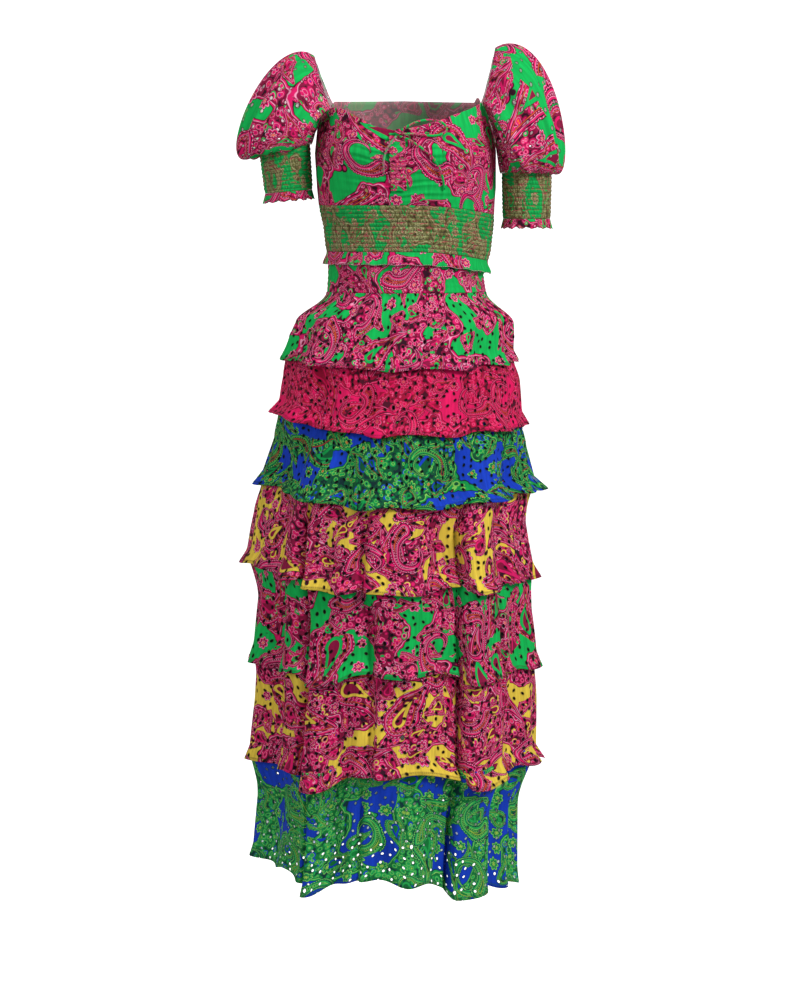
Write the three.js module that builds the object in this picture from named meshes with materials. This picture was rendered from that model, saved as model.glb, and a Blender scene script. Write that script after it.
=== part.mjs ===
// Tiered maxi dress on a hollow worn form: smocked bodice, puff sleeves and seven gathered tiers.
// Millimetres, +Z up, the garment's front looks along -Y. The origin lies between the two shoulder
// edges. Every piece is a closed wall of cloth between an outer and an inner skin.
import * as THREE from 'three';

// Cloth and seams
const WALL = 2;
const SEAM_GAP = 0.3;
const TURN = 2 * Math.PI;
const QUARTER = Math.PI / 2;

// Skirt
const WAVES_PER_TIER = 14;
const COLUMNS_PER_WAVE = 4;
const TIER_COLUMNS = WAVES_PER_TIER * COLUMNS_PER_WAVE;
const TIER_LAP = 20;
const BLEND_SHARE = 0.45;
const EYELET_LENGTH = 6.4;
const EYELET_WIDTH = 4.4;
const EYELET_SIDES = 6;
const EYELETS_PER_TIER = 10;

// The worn form from bust to hip: distances of the left side, right side, front and back from the
// axis at each height.
const FORM = [
  { z: -60, left: 112, right: 124, front: 84, back: 86 },
  { z: -110, left: 120, right: 134, front: 102, back: 95 },
  { z: -150, left: 124, right: 140, front: 110, back: 98 },
  { z: -200, left: 121, right: 140, front: 103, back: 95 },
  { z: -226, left: 118, right: 138, front: 97, back: 92 },
  { z: -257, left: 111, right: 136, front: 91, back: 90 },
  { z: -294, left: 107, right: 132, front: 88, back: 89 },
  { z: -330, left: 107, right: 124, front: 88, back: 90 },
  { z: -360, left: 109, right: 129, front: 92, back: 92 },
];

// The smocked band and the skirt's waistband, at the left side and the front; both sink at the right.
const BAND_TOP = -226;
const BAND_BOTTOM = -294;
const FRILL_BOTTOM = -313;
const WAISTBAND_TOP = -297.5;
const WAISTBAND_BOTTOM = -354;
const RIGHT_DROP = 14;

// Seven tiers. Sides, front and back are distances from the axis at the middle (mid), at the seam of
// the next tier (seam) and at the hem; hem heights are given at the left, front, right and back.
const TIERS = [
  {
    name: 'tier_1', color: 0x1aa85c,
    mid: { left: 152, right: 168, front: 122, back: 120 },
    seam: { left: 166, right: 168, front: 134, back: 132 },
    hem: { left: 176, right: 177, front: 146, back: 142 },
    heights: { left: -452, front: -464, right: -457, back: -460 }, wave: 5.5,
  },
  {
    name: 'tier_2', color: 0xe0206e,
    mid: { left: 171, right: 177, front: 143, back: 141 },
    seam: { left: 177, right: 177, front: 152, back: 150 },
    hem: { left: 194, right: 188, front: 164, back: 161 },
    heights: { left: -531, front: -558, right: -553, back: -556 }, wave: 6,
  },
  {
    name: 'tier_3', color: 0x1747b8,
    mid: { left: 186, right: 184, front: 162, back: 160 },
    seam: { left: 203, right: 195, front: 173, back: 171 },
    hem: { left: 219, right: 216, front: 185, back: 182 },
    heights: { left: -640, front: -662, right: -648, back: -656 }, wave: 7,
  },
  {
    name: 'tier_4', color: 0xe6cf48,
    mid: { left: 215, right: 187, front: 177, back: 176 },
    seam: { left: 225, right: 196, front: 183, back: 182 },
    hem: { left: 238, right: 208, front: 193, back: 191 },
    heights: { left: -760, front: -784, right: -780, back: -778 }, wave: 7,
  },
  {
    name: 'tier_5', color: 0x1aa85c,
    mid: { left: 214, right: 197, front: 182, back: 181 },
    seam: { left: 222, right: 203, front: 186, back: 186 },
    hem: { left: 231, right: 212, front: 195, back: 194 },
    heights: { left: -908, front: -904, right: -914, back: -908 }, wave: 7.5,
  },
  {
    name: 'tier_6', color: 0xe6cf48,
    mid: { left: 218, right: 202, front: 184, back: 185 },
    seam: { left: 224, right: 202, front: 188, back: 190 },
    hem: { left: 232, right: 216, front: 198, back: 199 },
    heights: { left: -1057, front: -1050, right: -1057, back: -1054 }, wave: 8,
  },
  {
    name: 'tier_7', color: 0x1c5fae,
    mid: { left: 213, right: 173, front: 180, back: 186 },
    seam: { left: 219, right: 171, front: 180, back: 188 },
    hem: { left: 225, right: 173, front: 184, back: 192 },
    heights: { left: -1208, front: -1205, right: -1246, back: -1226 }, wave: 8.5,
  },
];

// The largest folds of the skirt: where they run, how wide and deep they are at a hem, and the first
// and last tier that they cross. Angles are in degrees from the front, right positive.
const FOLDS = [
  { angle: -66, spread: 13, depth: 30, first: 2, last: 6 },
  { angle: -26, spread: 9, depth: 12, first: 3, last: 6 },
  { angle: -4, spread: 8, depth: 10, first: 4, last: 6 },
  { angle: 24, spread: 8, depth: 18, first: 2, last: 6 },
  { angle: 62, spread: 12, depth: 20, first: 2, last: 6 },
  { angle: 118, spread: 12, depth: 22, first: 2, last: 6 },
  { angle: 158, spread: 10, depth: 16, first: 3, last: 6 },
  { angle: 196, spread: 9, depth: 14, first: 3, last: 6 },
  { angle: 240, spread: 12, depth: 24, first: 2, last: 6 },
];

// Lobes between the folds, whose hems hang lower on the last three tiers.
const LOBES = [
  { angle: -33, spread: 13, drops: [0, 0, 0, 0, 13, 20, 22] },
  { angle: 10, spread: 7, drops: [0, 0, 0, 0, 0, 0, 12] },
  { angle: 36, spread: 13, drops: [0, 0, 0, 0, 7, 18, 16] },
  { angle: 140, spread: 12, drops: [0, 0, 0, 0, 8, 10, 9] },
  { angle: 215, spread: 12, drops: [0, 0, 0, 0, 7, 12, 8] },
];

// Neckline and armhole edge of the bodice: height of the edge by angle from the front.
const FRONT_EDGE = [
  { angle: -90, z: -116 },
  { angle: -80, z: -108 },
  { angle: -68, z: -96 },
  { angle: -58, z: -84 },
  { angle: -46, z: -86 },
  { angle: -29, z: -101 },
  { angle: -20, z: -112 },
  { angle: -5, z: -119 },
  { angle: 7, z: -113 },
  { angle: 22, z: -104 },
  { angle: 34, z: -95 },
  { angle: 55, z: -83 },
  { angle: 66, z: -76 },
  { angle: 74, z: -102 },
  { angle: 82, z: -130 },
  { angle: 90, z: -154 },
];
const BACK_EDGE = [
  { angle: 90, z: -154 },
  { angle: 98, z: -130 },
  { angle: 106, z: -102 },
  { angle: 114, z: -74 },
  { angle: 180, z: -70 },
  { angle: 238, z: -72 },
  { angle: 250, z: -94 },
  { angle: 260, z: -107 },
  { angle: 270, z: -116 },
];

// Two puff sleeves with their smocked cuffs. side is -1 for the viewer's left. The shoulder edge, the
// points where the neckline meets the sleeve, the underarm and the cuff are in garment sizes.
const SLEEVES = [
  {
    name: 'left', side: -1,
    shoulder: { x: 127, z: -6 },
    corner: { angle: 58, z: -86 }, underarm: { z: -112 },
    cuff: { x: 171, y: -4, z: -140, width: 37, depth: 41, tilt: 10 },
    cuffEnd: { x: 165, y: -6, z: -206, width: 35, depth: 39, tilt: 5 },
    puff: { headOut: 70, headLift: 44, endOut: 78, endDrop: 62, depth: 46 },
  },
  {
    name: 'right', side: 1,
    shoulder: { x: 141, z: 6 },
    corner: { angle: 66, z: -78 }, underarm: { z: -150 },
    cuff: { x: 188, y: -2, z: -177, width: 36.5, depth: 41, tilt: 0 },
    cuffEnd: { x: 188, y: -4, z: -246, width: 35, depth: 39, tilt: 0 },
    puff: { headOut: 87, headLift: 46, endOut: 41, endDrop: 27, depth: 46 },
  },
];
const SLEEVE_COLUMNS = 28;
const SLEEVE_GATHERS = 7;
const SLEEVE_ROW_SHARES = [0, 0.2, 0.42, 0.66, 0.87, 1];
const SLEEVE_WAVE = { middle: 2.6, ends: 0.8 };
const SLEEVE_EYELETS = [{ i: 2, j: 2 }, { i: 5, j: 1 }, { i: 7, j: 3 }];
const CUFF_FRILL_LENGTH = 13;

// Colours of the photograph, sampled by eye
const GREEN = 0x1aa85c;
const SMOCK_GREEN = 0x35a86a;
const PALE_TIE = 0x8fd0a4;

const smooth = (t) => {
  const s = Math.min(1, Math.max(0, t));
  return s * s * (3 - 2 * s);
};
const mix = (a, b, t) => a + (b - a) * t;
const radians = THREE.MathUtils.degToRad;

// The angle in degrees from a place on the section to a turn in radians, the short way round.
function degreesApart(turn, place) {
  const away = THREE.MathUtils.radToDeg(turn) - place;
  return away - 360 * Math.round(away / 360);
}

// A row of sizes worked out between the two table rows on either side of a value.
function between(table, key, value) {
  const rising = table[table.length - 1][key] > table[0][key];
  let k = 0;
  while (k < table.length - 2 && (rising ? value > table[k + 1][key] : value < table[k + 1][key])) {
    k += 1;
  }
  const a = table[k];
  const b = table[k + 1];
  const t = Math.min(1, Math.max(0, (value - a[key]) / (b[key] - a[key])));
  const row = {};
  for (const name of Object.keys(a)) {
    row[name] = mix(a[name], b[name], t);
  }
  return row;
}

// A point of an oval section. angle 0 is the front and a quarter turn the right side; inset moves
// the point inwards.
function ovalPoint(size, angle, z, inset = 0) {
  const centre = (size.right - size.left) / 2;
  const halfWidth = (size.right + size.left) / 2 - inset;
  const depth = (Math.cos(angle) > 0 ? size.front : size.back) - inset;
  return new THREE.Vector3(centre + halfWidth * Math.sin(angle), -depth * Math.cos(angle), z);
}

const formPoint = (angle, z, inset = 0) => ovalPoint(between(FORM, 'z', z), angle, z, inset);
const rightDrop = (angle) => -RIGHT_DROP * Math.max(0, Math.sin(angle)) ** 2;

// A closed wall between two skins. Each skin is a grid of columns and rows; around joins the last
// column to the first, and a plain inner skin may have fewer rows. holes are cells of the grid with
// a small opening through both skins.
function wallGeometry({ columns, rows, around, outer, inner, plainInside = false, holes = [] }) {
  const points = [];
  const faces = [];
  const add = (p) => points.push(p) - 1;
  const columnCount = around ? columns : columns + 1;
  const grid = (skin, rowList) => {
    const ids = [];
    for (let i = 0; i < columnCount; i += 1) {
      ids.push(rowList.map((j) => add(skin(i, j))));
    }
    return ids;
  };
  const allRows = [...Array(rows + 1).keys()];
  const innerRows = plainInside ? [0, rows] : allRows;
  const outside = grid(outer, allRows);
  const inside = grid(inner, innerRows);
  const column = (ids, i) => ids[around ? i % columns : i];
  const quad = (a, b, c, d) => {
    faces.push([a, b, c], [a, c, d]);
  };

  // The ring of triangles between a cell's four corners and the hole in it.
  const cellWithHole = (corners, hole, flip) => {
    const at = (p, q) => {
      const [a, b, c, d] = corners.map((id) => points[id]);
      const low = new THREE.Vector3().lerpVectors(a, b, p);
      const high = new THREE.Vector3().lerpVectors(d, c, p);
      return low.lerp(high, q);
    };
    const [a, b, , d] = corners.map((id) => points[id]);
    const halfP = EYELET_WIDTH / 2 / a.distanceTo(b);
    const halfQ = EYELET_LENGTH / 2 / a.distanceTo(d);
    const rim = [];
    for (let k = 0; k < EYELET_SIDES; k += 1) {
      const turn = TURN * (k / EYELET_SIDES);
      rim.push(add(at(hole.p + halfP * Math.cos(turn), hole.q + halfQ * Math.sin(turn))));
    }
    const middle = at(hole.p, hole.q);
    // Each rim edge is joined to the corner of its own quarter, and each side of the cell to the
    // rim point where the corner changes.
    const quarterOf = (k) => {
      const turn = (k + 0.5) / EYELET_SIDES;
      return [2, 3, 0, 1][Math.floor(turn * 4) % 4];
    };
    const ring = [];
    for (let k = 0; k < EYELET_SIDES; k += 1) {
      const next = (k + 1) % EYELET_SIDES;
      const mine = quarterOf(k);
      const theirs = quarterOf(next);
      ring.push([corners[mine], rim[next], rim[k]]);
      if (mine !== theirs) {
        ring.push([corners[mine], corners[theirs], rim[next]]);
      }
    }
    for (const face of ring) {
      faces.push(flip ? [face[0], face[2], face[1]] : face);
    }
    return { rim, middle };
  };

  for (let i = 0; i < columns; i += 1) {
    for (let j = 0; j < rows; j += 1) {
      const a = column(outside, i);
      const b = column(outside, i + 1);
      const hole = holes.find((h) => h.i === i && h.j === j);
      if (hole) {
        const c = column(inside, i);
        const d = column(inside, i + 1);
        const front = cellWithHole([a[j], b[j], b[j + 1], a[j + 1]], hole, false);
        const back = cellWithHole([c[j], d[j], d[j + 1], c[j + 1]], hole, true);
        for (let k = 0; k < EYELET_SIDES; k += 1) {
          const next = (k + 1) % EYELET_SIDES;
          quad(front.rim[k], front.rim[next], back.rim[next], back.rim[k]);
        }
      } else {
        quad(a[j], b[j], b[j + 1], a[j + 1]);
        if (!plainInside) {
          const c = column(inside, i);
          const d = column(inside, i + 1);
          quad(c[j], c[j + 1], d[j + 1], d[j]);
        }
      }
    }
    const a = column(outside, i);
    const b = column(outside, i + 1);
    const c = column(inside, i);
    const d = column(inside, i + 1);
    const last = c.length - 1;
    if (plainInside) {
      quad(c[0], c[last], d[last], d[0]);
    }
    quad(a[0], c[0], d[0], b[0]);
    quad(a[rows], b[rows], d[last], c[last]);
  }
  if (!around) {
    for (const [i, flip] of [[0, false], [columns, true]]) {
      const a = outside[i];
      const c = inside[i];
      for (let j = 0; j < rows; j += 1) {
        const face = [a[j], a[j + 1], c[j + 1], c[j]];
        quad(...(flip ? face.reverse() : face));
      }
    }
  }
  return closedGeometry(points, faces);
}

// An indexed geometry whose faces look outwards.
function closedGeometry(points, faces) {
  let volume = 0;
  const cross = new THREE.Vector3();
  for (const [a, b, c] of faces) {
    volume += points[a].dot(cross.crossVectors(points[b], points[c]));
  }
  const index = faces.flatMap(([a, b, c]) => (volume < 0 ? [a, c, b] : [a, b, c]));
  const geometry = new THREE.BufferGeometry();
  geometry.setAttribute('position', new THREE.Float32BufferAttribute(points.flatMap((p) => [p.x, p.y, p.z]), 3));
  geometry.setIndex(index);
  geometry.computeVertexNormals();
  return geometry;
}

const dress = new THREE.Group();
dress.name = 'tiered_maxi_dress';

function addPiece(name, geometry, color, roughness = 0.8) {
  const material = new THREE.MeshStandardMaterial({ color, roughness, metalness: 0 });
  const mesh = new THREE.Mesh(geometry, material);
  mesh.name = name;
  dress.add(mesh);
}

// Skirt tiers

const seamShare = (n) => 1 - TIER_LAP / meanLength(n);

function meanLength(n) {
  const top = n === 0 ? WAISTBAND_BOTTOM : TIERS[n - 1].heights.front + TIER_LAP;
  return top - TIERS[n].heights.front;
}

// Uneven spacing of the gathers: the turn that a share of the way round comes to. It is exact at
// the front, back and side seams, and alike on every tier, so that each lies inside the one above.
function gatherAngle(share) {
  const turn = TURN * share;
  return turn + 0.06 * Math.sin(2 * turn) + 0.05 * (1 - Math.cos(4 * turn));
}

function tierHemHeight(n, angle) {
  const { left, front, right, back } = TIERS[n].heights;
  const c = Math.cos(angle);
  const s = Math.sin(angle);
  let sag = 0;
  for (const lobe of LOBES) {
    sag += lobe.drops[n] * Math.exp(-((degreesApart(angle, lobe.angle) / lobe.spread) ** 2));
  }
  return (c > 0 ? front : back) * c * c + (s > 0 ? right : left) * s * s - sag;
}

function tierSize(n, v) {
  const tier = TIERS[n];
  const seam = seamShare(n);
  const low = v > seam ? tier.seam : tier.mid;
  const high = v > seam ? tier.hem : tier.seam;
  const t = v > seam ? (v - seam) / (1 - seam) : Math.max(0, v - BLEND_SHARE) / (seam - BLEND_SHARE);
  const size = {};
  for (const key of Object.keys(low)) {
    size[key] = mix(low[key], high[key], t);
  }
  return size;
}

// How far the named folds push a tier in at an angle.
function foldDepth(n, angle, v) {
  let depth = 0;
  for (const fold of FOLDS) {
    if (n < fold.first || n > fold.last) continue;
    const away = degreesApart(angle, fold.angle);
    const grow = n === fold.first ? smooth(v) : 1;
    depth += fold.depth * grow * Math.exp(-((away / fold.spread) ** 2));
  }
  return depth;
}

// A point of a tier: share is the way round (0 at the front), v runs from the seam to the hem. The
// top follows the tier above, on the inside of its wall, and then takes its own width and gathers.
function tierPoint(n, share, v, inset = 0) {
  const angle = gatherAngle(share);
  const wavePhase = TURN * WAVES_PER_TIER * share + n * QUARTER;
  const strength = 0.75 + 0.25 * Math.sin(3 * TURN * share + 1.7 * n);
  const wave = TIERS[n].wave * strength * Math.cos(wavePhase) * mix(0.55, 1, v);
  const start = n === 0
    ? formPoint(angle, WAISTBAND_BOTTOM - SEAM_GAP, inset)
    : tierPoint(n - 1, share, seamShare(n - 1), inset + WALL + SEAM_GAP);
  const inwards = inset + foldDepth(n, angle, v) - wave;
  const own = ovalPoint(tierSize(n, v), angle, 0, inwards);
  own.z = mix(start.z, tierHemHeight(n, angle) - 0.25 * wave, v);
  const taken = smooth(v / BLEND_SHARE);
  return new THREE.Vector3(mix(start.x, own.x, taken), mix(start.y, own.y, taken), own.z);
}

// The side seams part a tier into a front and a back, each a little short of the quarter turn.
function tierHalf(n, half) {
  const columns = TIER_COLUMNS / 2;
  const firstShare = half === 'front' ? -0.25 : 0.25;
  const seam = seamShare(n);
  const rowShares = [0, BLEND_SHARE, seam, 1];
  const at = (inset) => (i, j) => {
    const v = rowShares[j];
    let share = firstShare + i / TIER_COLUMNS;
    const trim = (SEAM_GAP * 0.6) / (TURN * tierSize(n, v).front);
    if (i === 0) share += trim;
    if (i === columns) share -= trim;
    return tierPoint(n, share, v, inset);
  };
  const holes = [];
  const count = EYELETS_PER_TIER / 2;
  for (let k = 0; k < count; k += 1) {
    const i = Math.floor(((k + 0.5) * columns) / count) + ((n + k) % 3) - 1;
    holes.push({ i, j: k % 2 === 0 ? 1 : 2, p: 0.5, q: 0.5 });
  }
  return wallGeometry({
    columns, rows: 3, around: false, outer: at(0), inner: at(WALL), holes,
  });
}

TIERS.forEach((tier, n) => {
  addPiece(`${tier.name}_front`, tierHalf(n, 'front'), tier.color);
  addPiece(`${tier.name}_back`, tierHalf(n, 'back'), tier.color);
});

// Waistband, smocked band and its free hem

const BAND_COLUMNS = 36;
const BAND_ROWS = 6;
const SMOCK_RISE = 1.2;

// Smocking: cells raised in turn along each row, shifted by one in the next row.
const smockRise = (i, j, rows) => (j === 0 || j === rows || (i + j) % 2 ? 0 : SMOCK_RISE);

function waistband() {
  const at = (inset) => (i, j) => {
    const angle = TURN * (i / BAND_COLUMNS);
    return formPoint(angle, mix(WAISTBAND_TOP + rightDrop(angle), WAISTBAND_BOTTOM, j / 2), inset);
  };
  return wallGeometry({ columns: BAND_COLUMNS, rows: 2, around: true, outer: at(0), inner: at(WALL) });
}

function smockedBand() {
  const at = (inset) => (i, j) => {
    const angle = TURN * (i / BAND_COLUMNS);
    const z = mix(BAND_TOP, BAND_BOTTOM, j / BAND_ROWS) + rightDrop(angle);
    const raised = inset > 0 ? 0 : smockRise(i, j, BAND_ROWS);
    return formPoint(angle, z, inset - raised - WALL - SEAM_GAP);
  };
  return wallGeometry({
    columns: BAND_COLUMNS, rows: BAND_ROWS, around: true, outer: at(0), inner: at(WALL), plainInside: true,
  });
}

const FRILL_COLUMNS = 48;
const FRILL_WAVE = 1.8;
const FRILL_FLARE = 3.5;

function topHemFrill() {
  const at = (inset) => (i, j) => {
    const angle = TURN * (i / FRILL_COLUMNS);
    const z = mix(BAND_BOTTOM - SEAM_GAP, FRILL_BOTTOM, j / 2) + rightDrop(angle);
    const wave = i % 2 === 0 ? FRILL_WAVE : -FRILL_WAVE;
    const grow = smooth(j / 2);
    const out = WALL + SEAM_GAP + grow * (FRILL_FLARE + wave + 4 * Math.max(0, Math.sin(angle)) ** 4);
    return formPoint(angle, z, inset - out);
  };
  return wallGeometry({ columns: FRILL_COLUMNS, rows: 2, around: true, outer: at(0), inner: at(WALL) });
}

addPiece('skirt_waistband', waistband(), GREEN);
addPiece('smocked_midriff', smockedBand(), SMOCK_GREEN);
addPiece('top_hem_frill', topHemFrill(), GREEN);

// Bodice

const FRONT_COLUMNS = 20;
const FRONT_ROWS = 7;
const BACK_COLUMNS = 18;
const BACK_ROWS = 3;
const BUST = { angle: 34, z: -146, spreadAngle: 24, spreadHeight: 34, rise: 9 };
const CENTRE_DIP = { spreadAngle: 9, depth: 5 };
const GATHER_RISE = 1.8;

function bodiceRise(angle, z) {
  const degrees = THREE.MathUtils.radToDeg(angle);
  const height = (z - BUST.z) / BUST.spreadHeight;
  let rise = 0;
  for (const side of [-1, 1]) {
    const across = (degrees - side * BUST.angle) / BUST.spreadAngle;
    rise += BUST.rise * Math.exp(-(across ** 2) - height ** 2);
  }
  return rise - CENTRE_DIP.depth * Math.exp(-((degrees / CENTRE_DIP.spreadAngle) ** 2) - height ** 2);
}

// The bodice lies flush with the smocked band, outside the worn form.
function bodicePoint(angle, z, inset) {
  return formPoint(angle, z, inset - WALL - SEAM_GAP - bodiceRise(angle, z));
}

function bodiceFront() {
  const at = (inset) => (i, j) => {
    const end = QUARTER - (SEAM_GAP * 0.6) / FORM[3].front;
    const angle = mix(-end, end, i / FRONT_COLUMNS);
    const edge = between(FRONT_EDGE, 'angle', THREE.MathUtils.radToDeg(angle)).z;
    const z = mix(edge, BAND_TOP + SEAM_GAP + rightDrop(angle), j / FRONT_ROWS);
    const middle = Math.exp(-((THREE.MathUtils.radToDeg(angle) / 38) ** 2));
    const gather = (j % 2 === 0 ? -1 : 1) * GATHER_RISE * middle * (j === FRONT_ROWS ? 0 : 1);
    return bodicePoint(angle, z, inset - gather);
  };
  return wallGeometry({
    columns: FRONT_COLUMNS, rows: FRONT_ROWS, around: false, outer: at(0), inner: at(WALL),
  });
}

function bodiceBack() {
  const at = (inset) => (i, j) => {
    const end = QUARTER - (SEAM_GAP * 0.6) / FORM[3].back;
    const angle = Math.PI + mix(-end, end, i / BACK_COLUMNS);
    const edge = between(BACK_EDGE, 'angle', THREE.MathUtils.radToDeg(angle)).z;
    const z = mix(edge, BAND_TOP + SEAM_GAP + rightDrop(angle), j / BACK_ROWS);
    return bodicePoint(angle, z, inset);
  };
  return wallGeometry({
    columns: BACK_COLUMNS, rows: BACK_ROWS, around: false, outer: at(0), inner: at(WALL),
  });
}

addPiece('bodice_front', bodiceFront(), GREEN);
addPiece('bodice_back', bodiceBack(), GREEN);

// The ruched channel down the centre front lies on the bodice, drawn up into short cross folds.
const CHANNEL = {
  axis: 8, halfForm: 132, x: -3, halfWidth: 11, top: -122, bottom: -205,
  rows: 12, columns: 4, wall: 1.6, ruche: 1.6,
};

function frontChannel() {
  const at = (outerSkin) => (i, j) => {
    const x = CHANNEL.x + mix(-CHANNEL.halfWidth, CHANNEL.halfWidth, i / CHANNEL.columns);
    const z = mix(CHANNEL.top, CHANNEL.bottom, j / CHANNEL.rows);
    const angle = Math.asin((x - CHANNEL.axis) / CHANNEL.halfForm);
    const lift = outerSkin ? CHANNEL.wall + (j % 2) * CHANNEL.ruche : 0;
    return bodicePoint(angle, z, -2.2 * SEAM_GAP - GATHER_RISE - lift);
  };
  return wallGeometry({
    columns: CHANNEL.columns, rows: CHANNEL.rows, around: false, outer: at(true), inner: at(false),
  });
}

addPiece('front_channel', frontChannel(), GREEN);

// Sleeves and cuffs

// The mouth of a sleeve: the shoulder edge, the neckline corners and the armhole down to the
// underarm. turn 0 is the shoulder, a quarter turn the front and half a turn the underarm.
function sleeveMouth(sleeve, turn) {
  const share = Math.abs(turn) / Math.PI;
  const front = turn >= 0;
  const cornerShare = 0.5;
  const toBody = front ? 1 : -1;
  const cornerZ = front ? sleeve.corner.z : -76;
  const cornerAngle = front ? sleeve.corner.angle : 180 - sleeve.corner.angle;
  const onBody = (angle, z) => {
    const p = formPoint(radians(sleeve.side * angle), z, -2 * WALL - SEAM_GAP);
    return new THREE.Vector3(p.x, p.y, z);
  };
  if (share > cornerShare) {
    const t = (share - cornerShare) / (1 - cornerShare);
    const angle = mix(cornerAngle, 90, t);
    return onBody(angle, mix(cornerZ, sleeve.underarm.z, t));
  }
  const corner = onBody(cornerAngle, cornerZ);
  const t = share / cornerShare;
  const top = new THREE.Vector3(sleeve.side * sleeve.shoulder.x, 0, sleeve.shoulder.z);
  const bow = Math.sin(t * Math.PI) * 12;
  const p = new THREE.Vector3(
    mix(top.x, corner.x, t * t),
    mix(0, corner.y, Math.sin(t * QUARTER)),
    mix(top.z, corner.z, 1 - Math.cos(t * QUARTER)),
  );
  p.y -= toBody * bow * 0.3;
  return p;
}

// A ring of the cuff; turn runs the same way as at the mouth, with 0 on the outer side.
function cuffRing(ring, side, turn, grow = 0) {
  const tilt = Math.tan(radians(ring.tilt));
  const x = side * ring.x + side * (ring.width + grow) * Math.cos(turn);
  const y = ring.y - (ring.depth + grow) * Math.sin(turn);
  return new THREE.Vector3(x, y, ring.z - tilt * (ring.width + grow) * Math.cos(turn));
}

// A sleeve follows a curve from its mouth to the cuff on every line round the arm.
function sleevePoint(sleeve, turn, v) {
  const { headOut, headLift, endOut, endDrop, depth } = sleeve.puff;
  const mouth = sleeveMouth(sleeve, turn);
  const end = cuffRing(sleeve.cuff, sleeve.side, turn, WALL + 2.5 * SEAM_GAP);
  end.z -= 1;
  const upper = Math.max(0, Math.cos(turn));
  const lower = Math.max(0, -Math.cos(turn));
  const across = Math.sin(turn);
  const reach = mix(1, 0.16, lower);
  const first = mouth.clone().add(new THREE.Vector3(
    sleeve.side * (headOut * upper + 20 * (1 - upper) * reach),
    -depth * 0.9 * across * reach,
    headLift * upper * reach,
  ));
  const second = end.clone().add(new THREE.Vector3(
    sleeve.side * (endOut * upper + 2 * lower),
    -depth * across * reach,
    -endDrop * mix(0.5, 1, upper) * reach,
  ));
  return new THREE.CubicBezierCurve3(mouth, first, second, end).getPoint(v);
}

// The cloth's normal on a sleeve, from steps along and round it.
function sleeveSkin(sleeve, turn, v, offset) {
  const step = 0.004;
  const low = Math.max(0, v - step);
  const high = Math.min(1, v + step);
  const along = sleevePoint(sleeve, turn, high).sub(sleevePoint(sleeve, turn, low));
  const round = sleevePoint(sleeve, turn + step, v).sub(sleevePoint(sleeve, turn - step, v));
  const normal = along.cross(round).normalize().multiplyScalar(sleeve.side);
  const gather = SLEEVE_WAVE.middle * Math.sin(Math.PI * v) + SLEEVE_WAVE.ends;
  const wave = gather * Math.cos(SLEEVE_GATHERS * 2 * turn) * (v === 0 || v === 1 ? 0.3 : 1);
  return sleevePoint(sleeve, turn, v).addScaledVector(normal, offset + wave);
}

function sleeveHalf(sleeve, half) {
  const columns = SLEEVE_COLUMNS / 2;
  const at = (offset) => (i, j) => {
    const trim = 0.004;
    const share = mix(trim, 1 - trim, i / columns);
    const turn = (half === 'front' ? 1 : -1) * Math.PI * share;
    return sleeveSkin(sleeve, turn, SLEEVE_ROW_SHARES[j], offset);
  };
  const holes = SLEEVE_EYELETS.map((cell) => ({ ...cell, p: 0.5, q: 0.5 }));
  return wallGeometry({
    columns, rows: SLEEVE_ROW_SHARES.length - 1, around: false, outer: at(0), inner: at(-WALL), holes,
  });
}

const CUFF_COLUMNS = 24;
const CUFF_ROWS = 6;
const CUFF_FRILL = { columns: 28, wave: 1.6, flare: 2.2 };

function betweenRings(a, b, t) {
  const row = {};
  for (const key of Object.keys(a)) {
    row[key] = mix(a[key], b[key], t);
  }
  return row;
}

function cuff(sleeve) {
  const at = (inset) => (i, j) => {
    const ring = betweenRings(sleeve.cuff, sleeve.cuffEnd, j / CUFF_ROWS);
    const raised = inset > 0 ? 0 : smockRise(i, j, CUFF_ROWS);
    return cuffRing(ring, sleeve.side, TURN * (i / CUFF_COLUMNS), raised - inset);
  };
  return wallGeometry({
    columns: CUFF_COLUMNS, rows: CUFF_ROWS, around: true, outer: at(0), inner: at(WALL), plainInside: true,
  });
}

function cuffFrill(sleeve) {
  const { columns, flare } = CUFF_FRILL;
  const at = (inset) => (i, j) => {
    const wave = i % 2 === 0 ? CUFF_FRILL.wave : -CUFF_FRILL.wave;
    const ring = { ...sleeve.cuffEnd, z: sleeve.cuffEnd.z - SEAM_GAP - j * CUFF_FRILL_LENGTH };
    const p = cuffRing(ring, sleeve.side, TURN * (i / columns), j * (flare + wave) - inset);
    p.z -= j * wave;
    return p;
  };
  return wallGeometry({ columns, rows: 1, around: true, outer: at(0), inner: at(WALL) });
}

for (const sleeve of SLEEVES) {
  addPiece(`sleeve_${sleeve.name}_front`, sleeveHalf(sleeve, 'front'), GREEN);
  addPiece(`sleeve_${sleeve.name}_back`, sleeveHalf(sleeve, 'back'), GREEN);
  addPiece(`cuff_${sleeve.name}`, cuff(sleeve), SMOCK_GREEN);
  addPiece(`cuff_${sleeve.name}_frill`, cuffFrill(sleeve), GREEN);
}

// Bow

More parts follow.
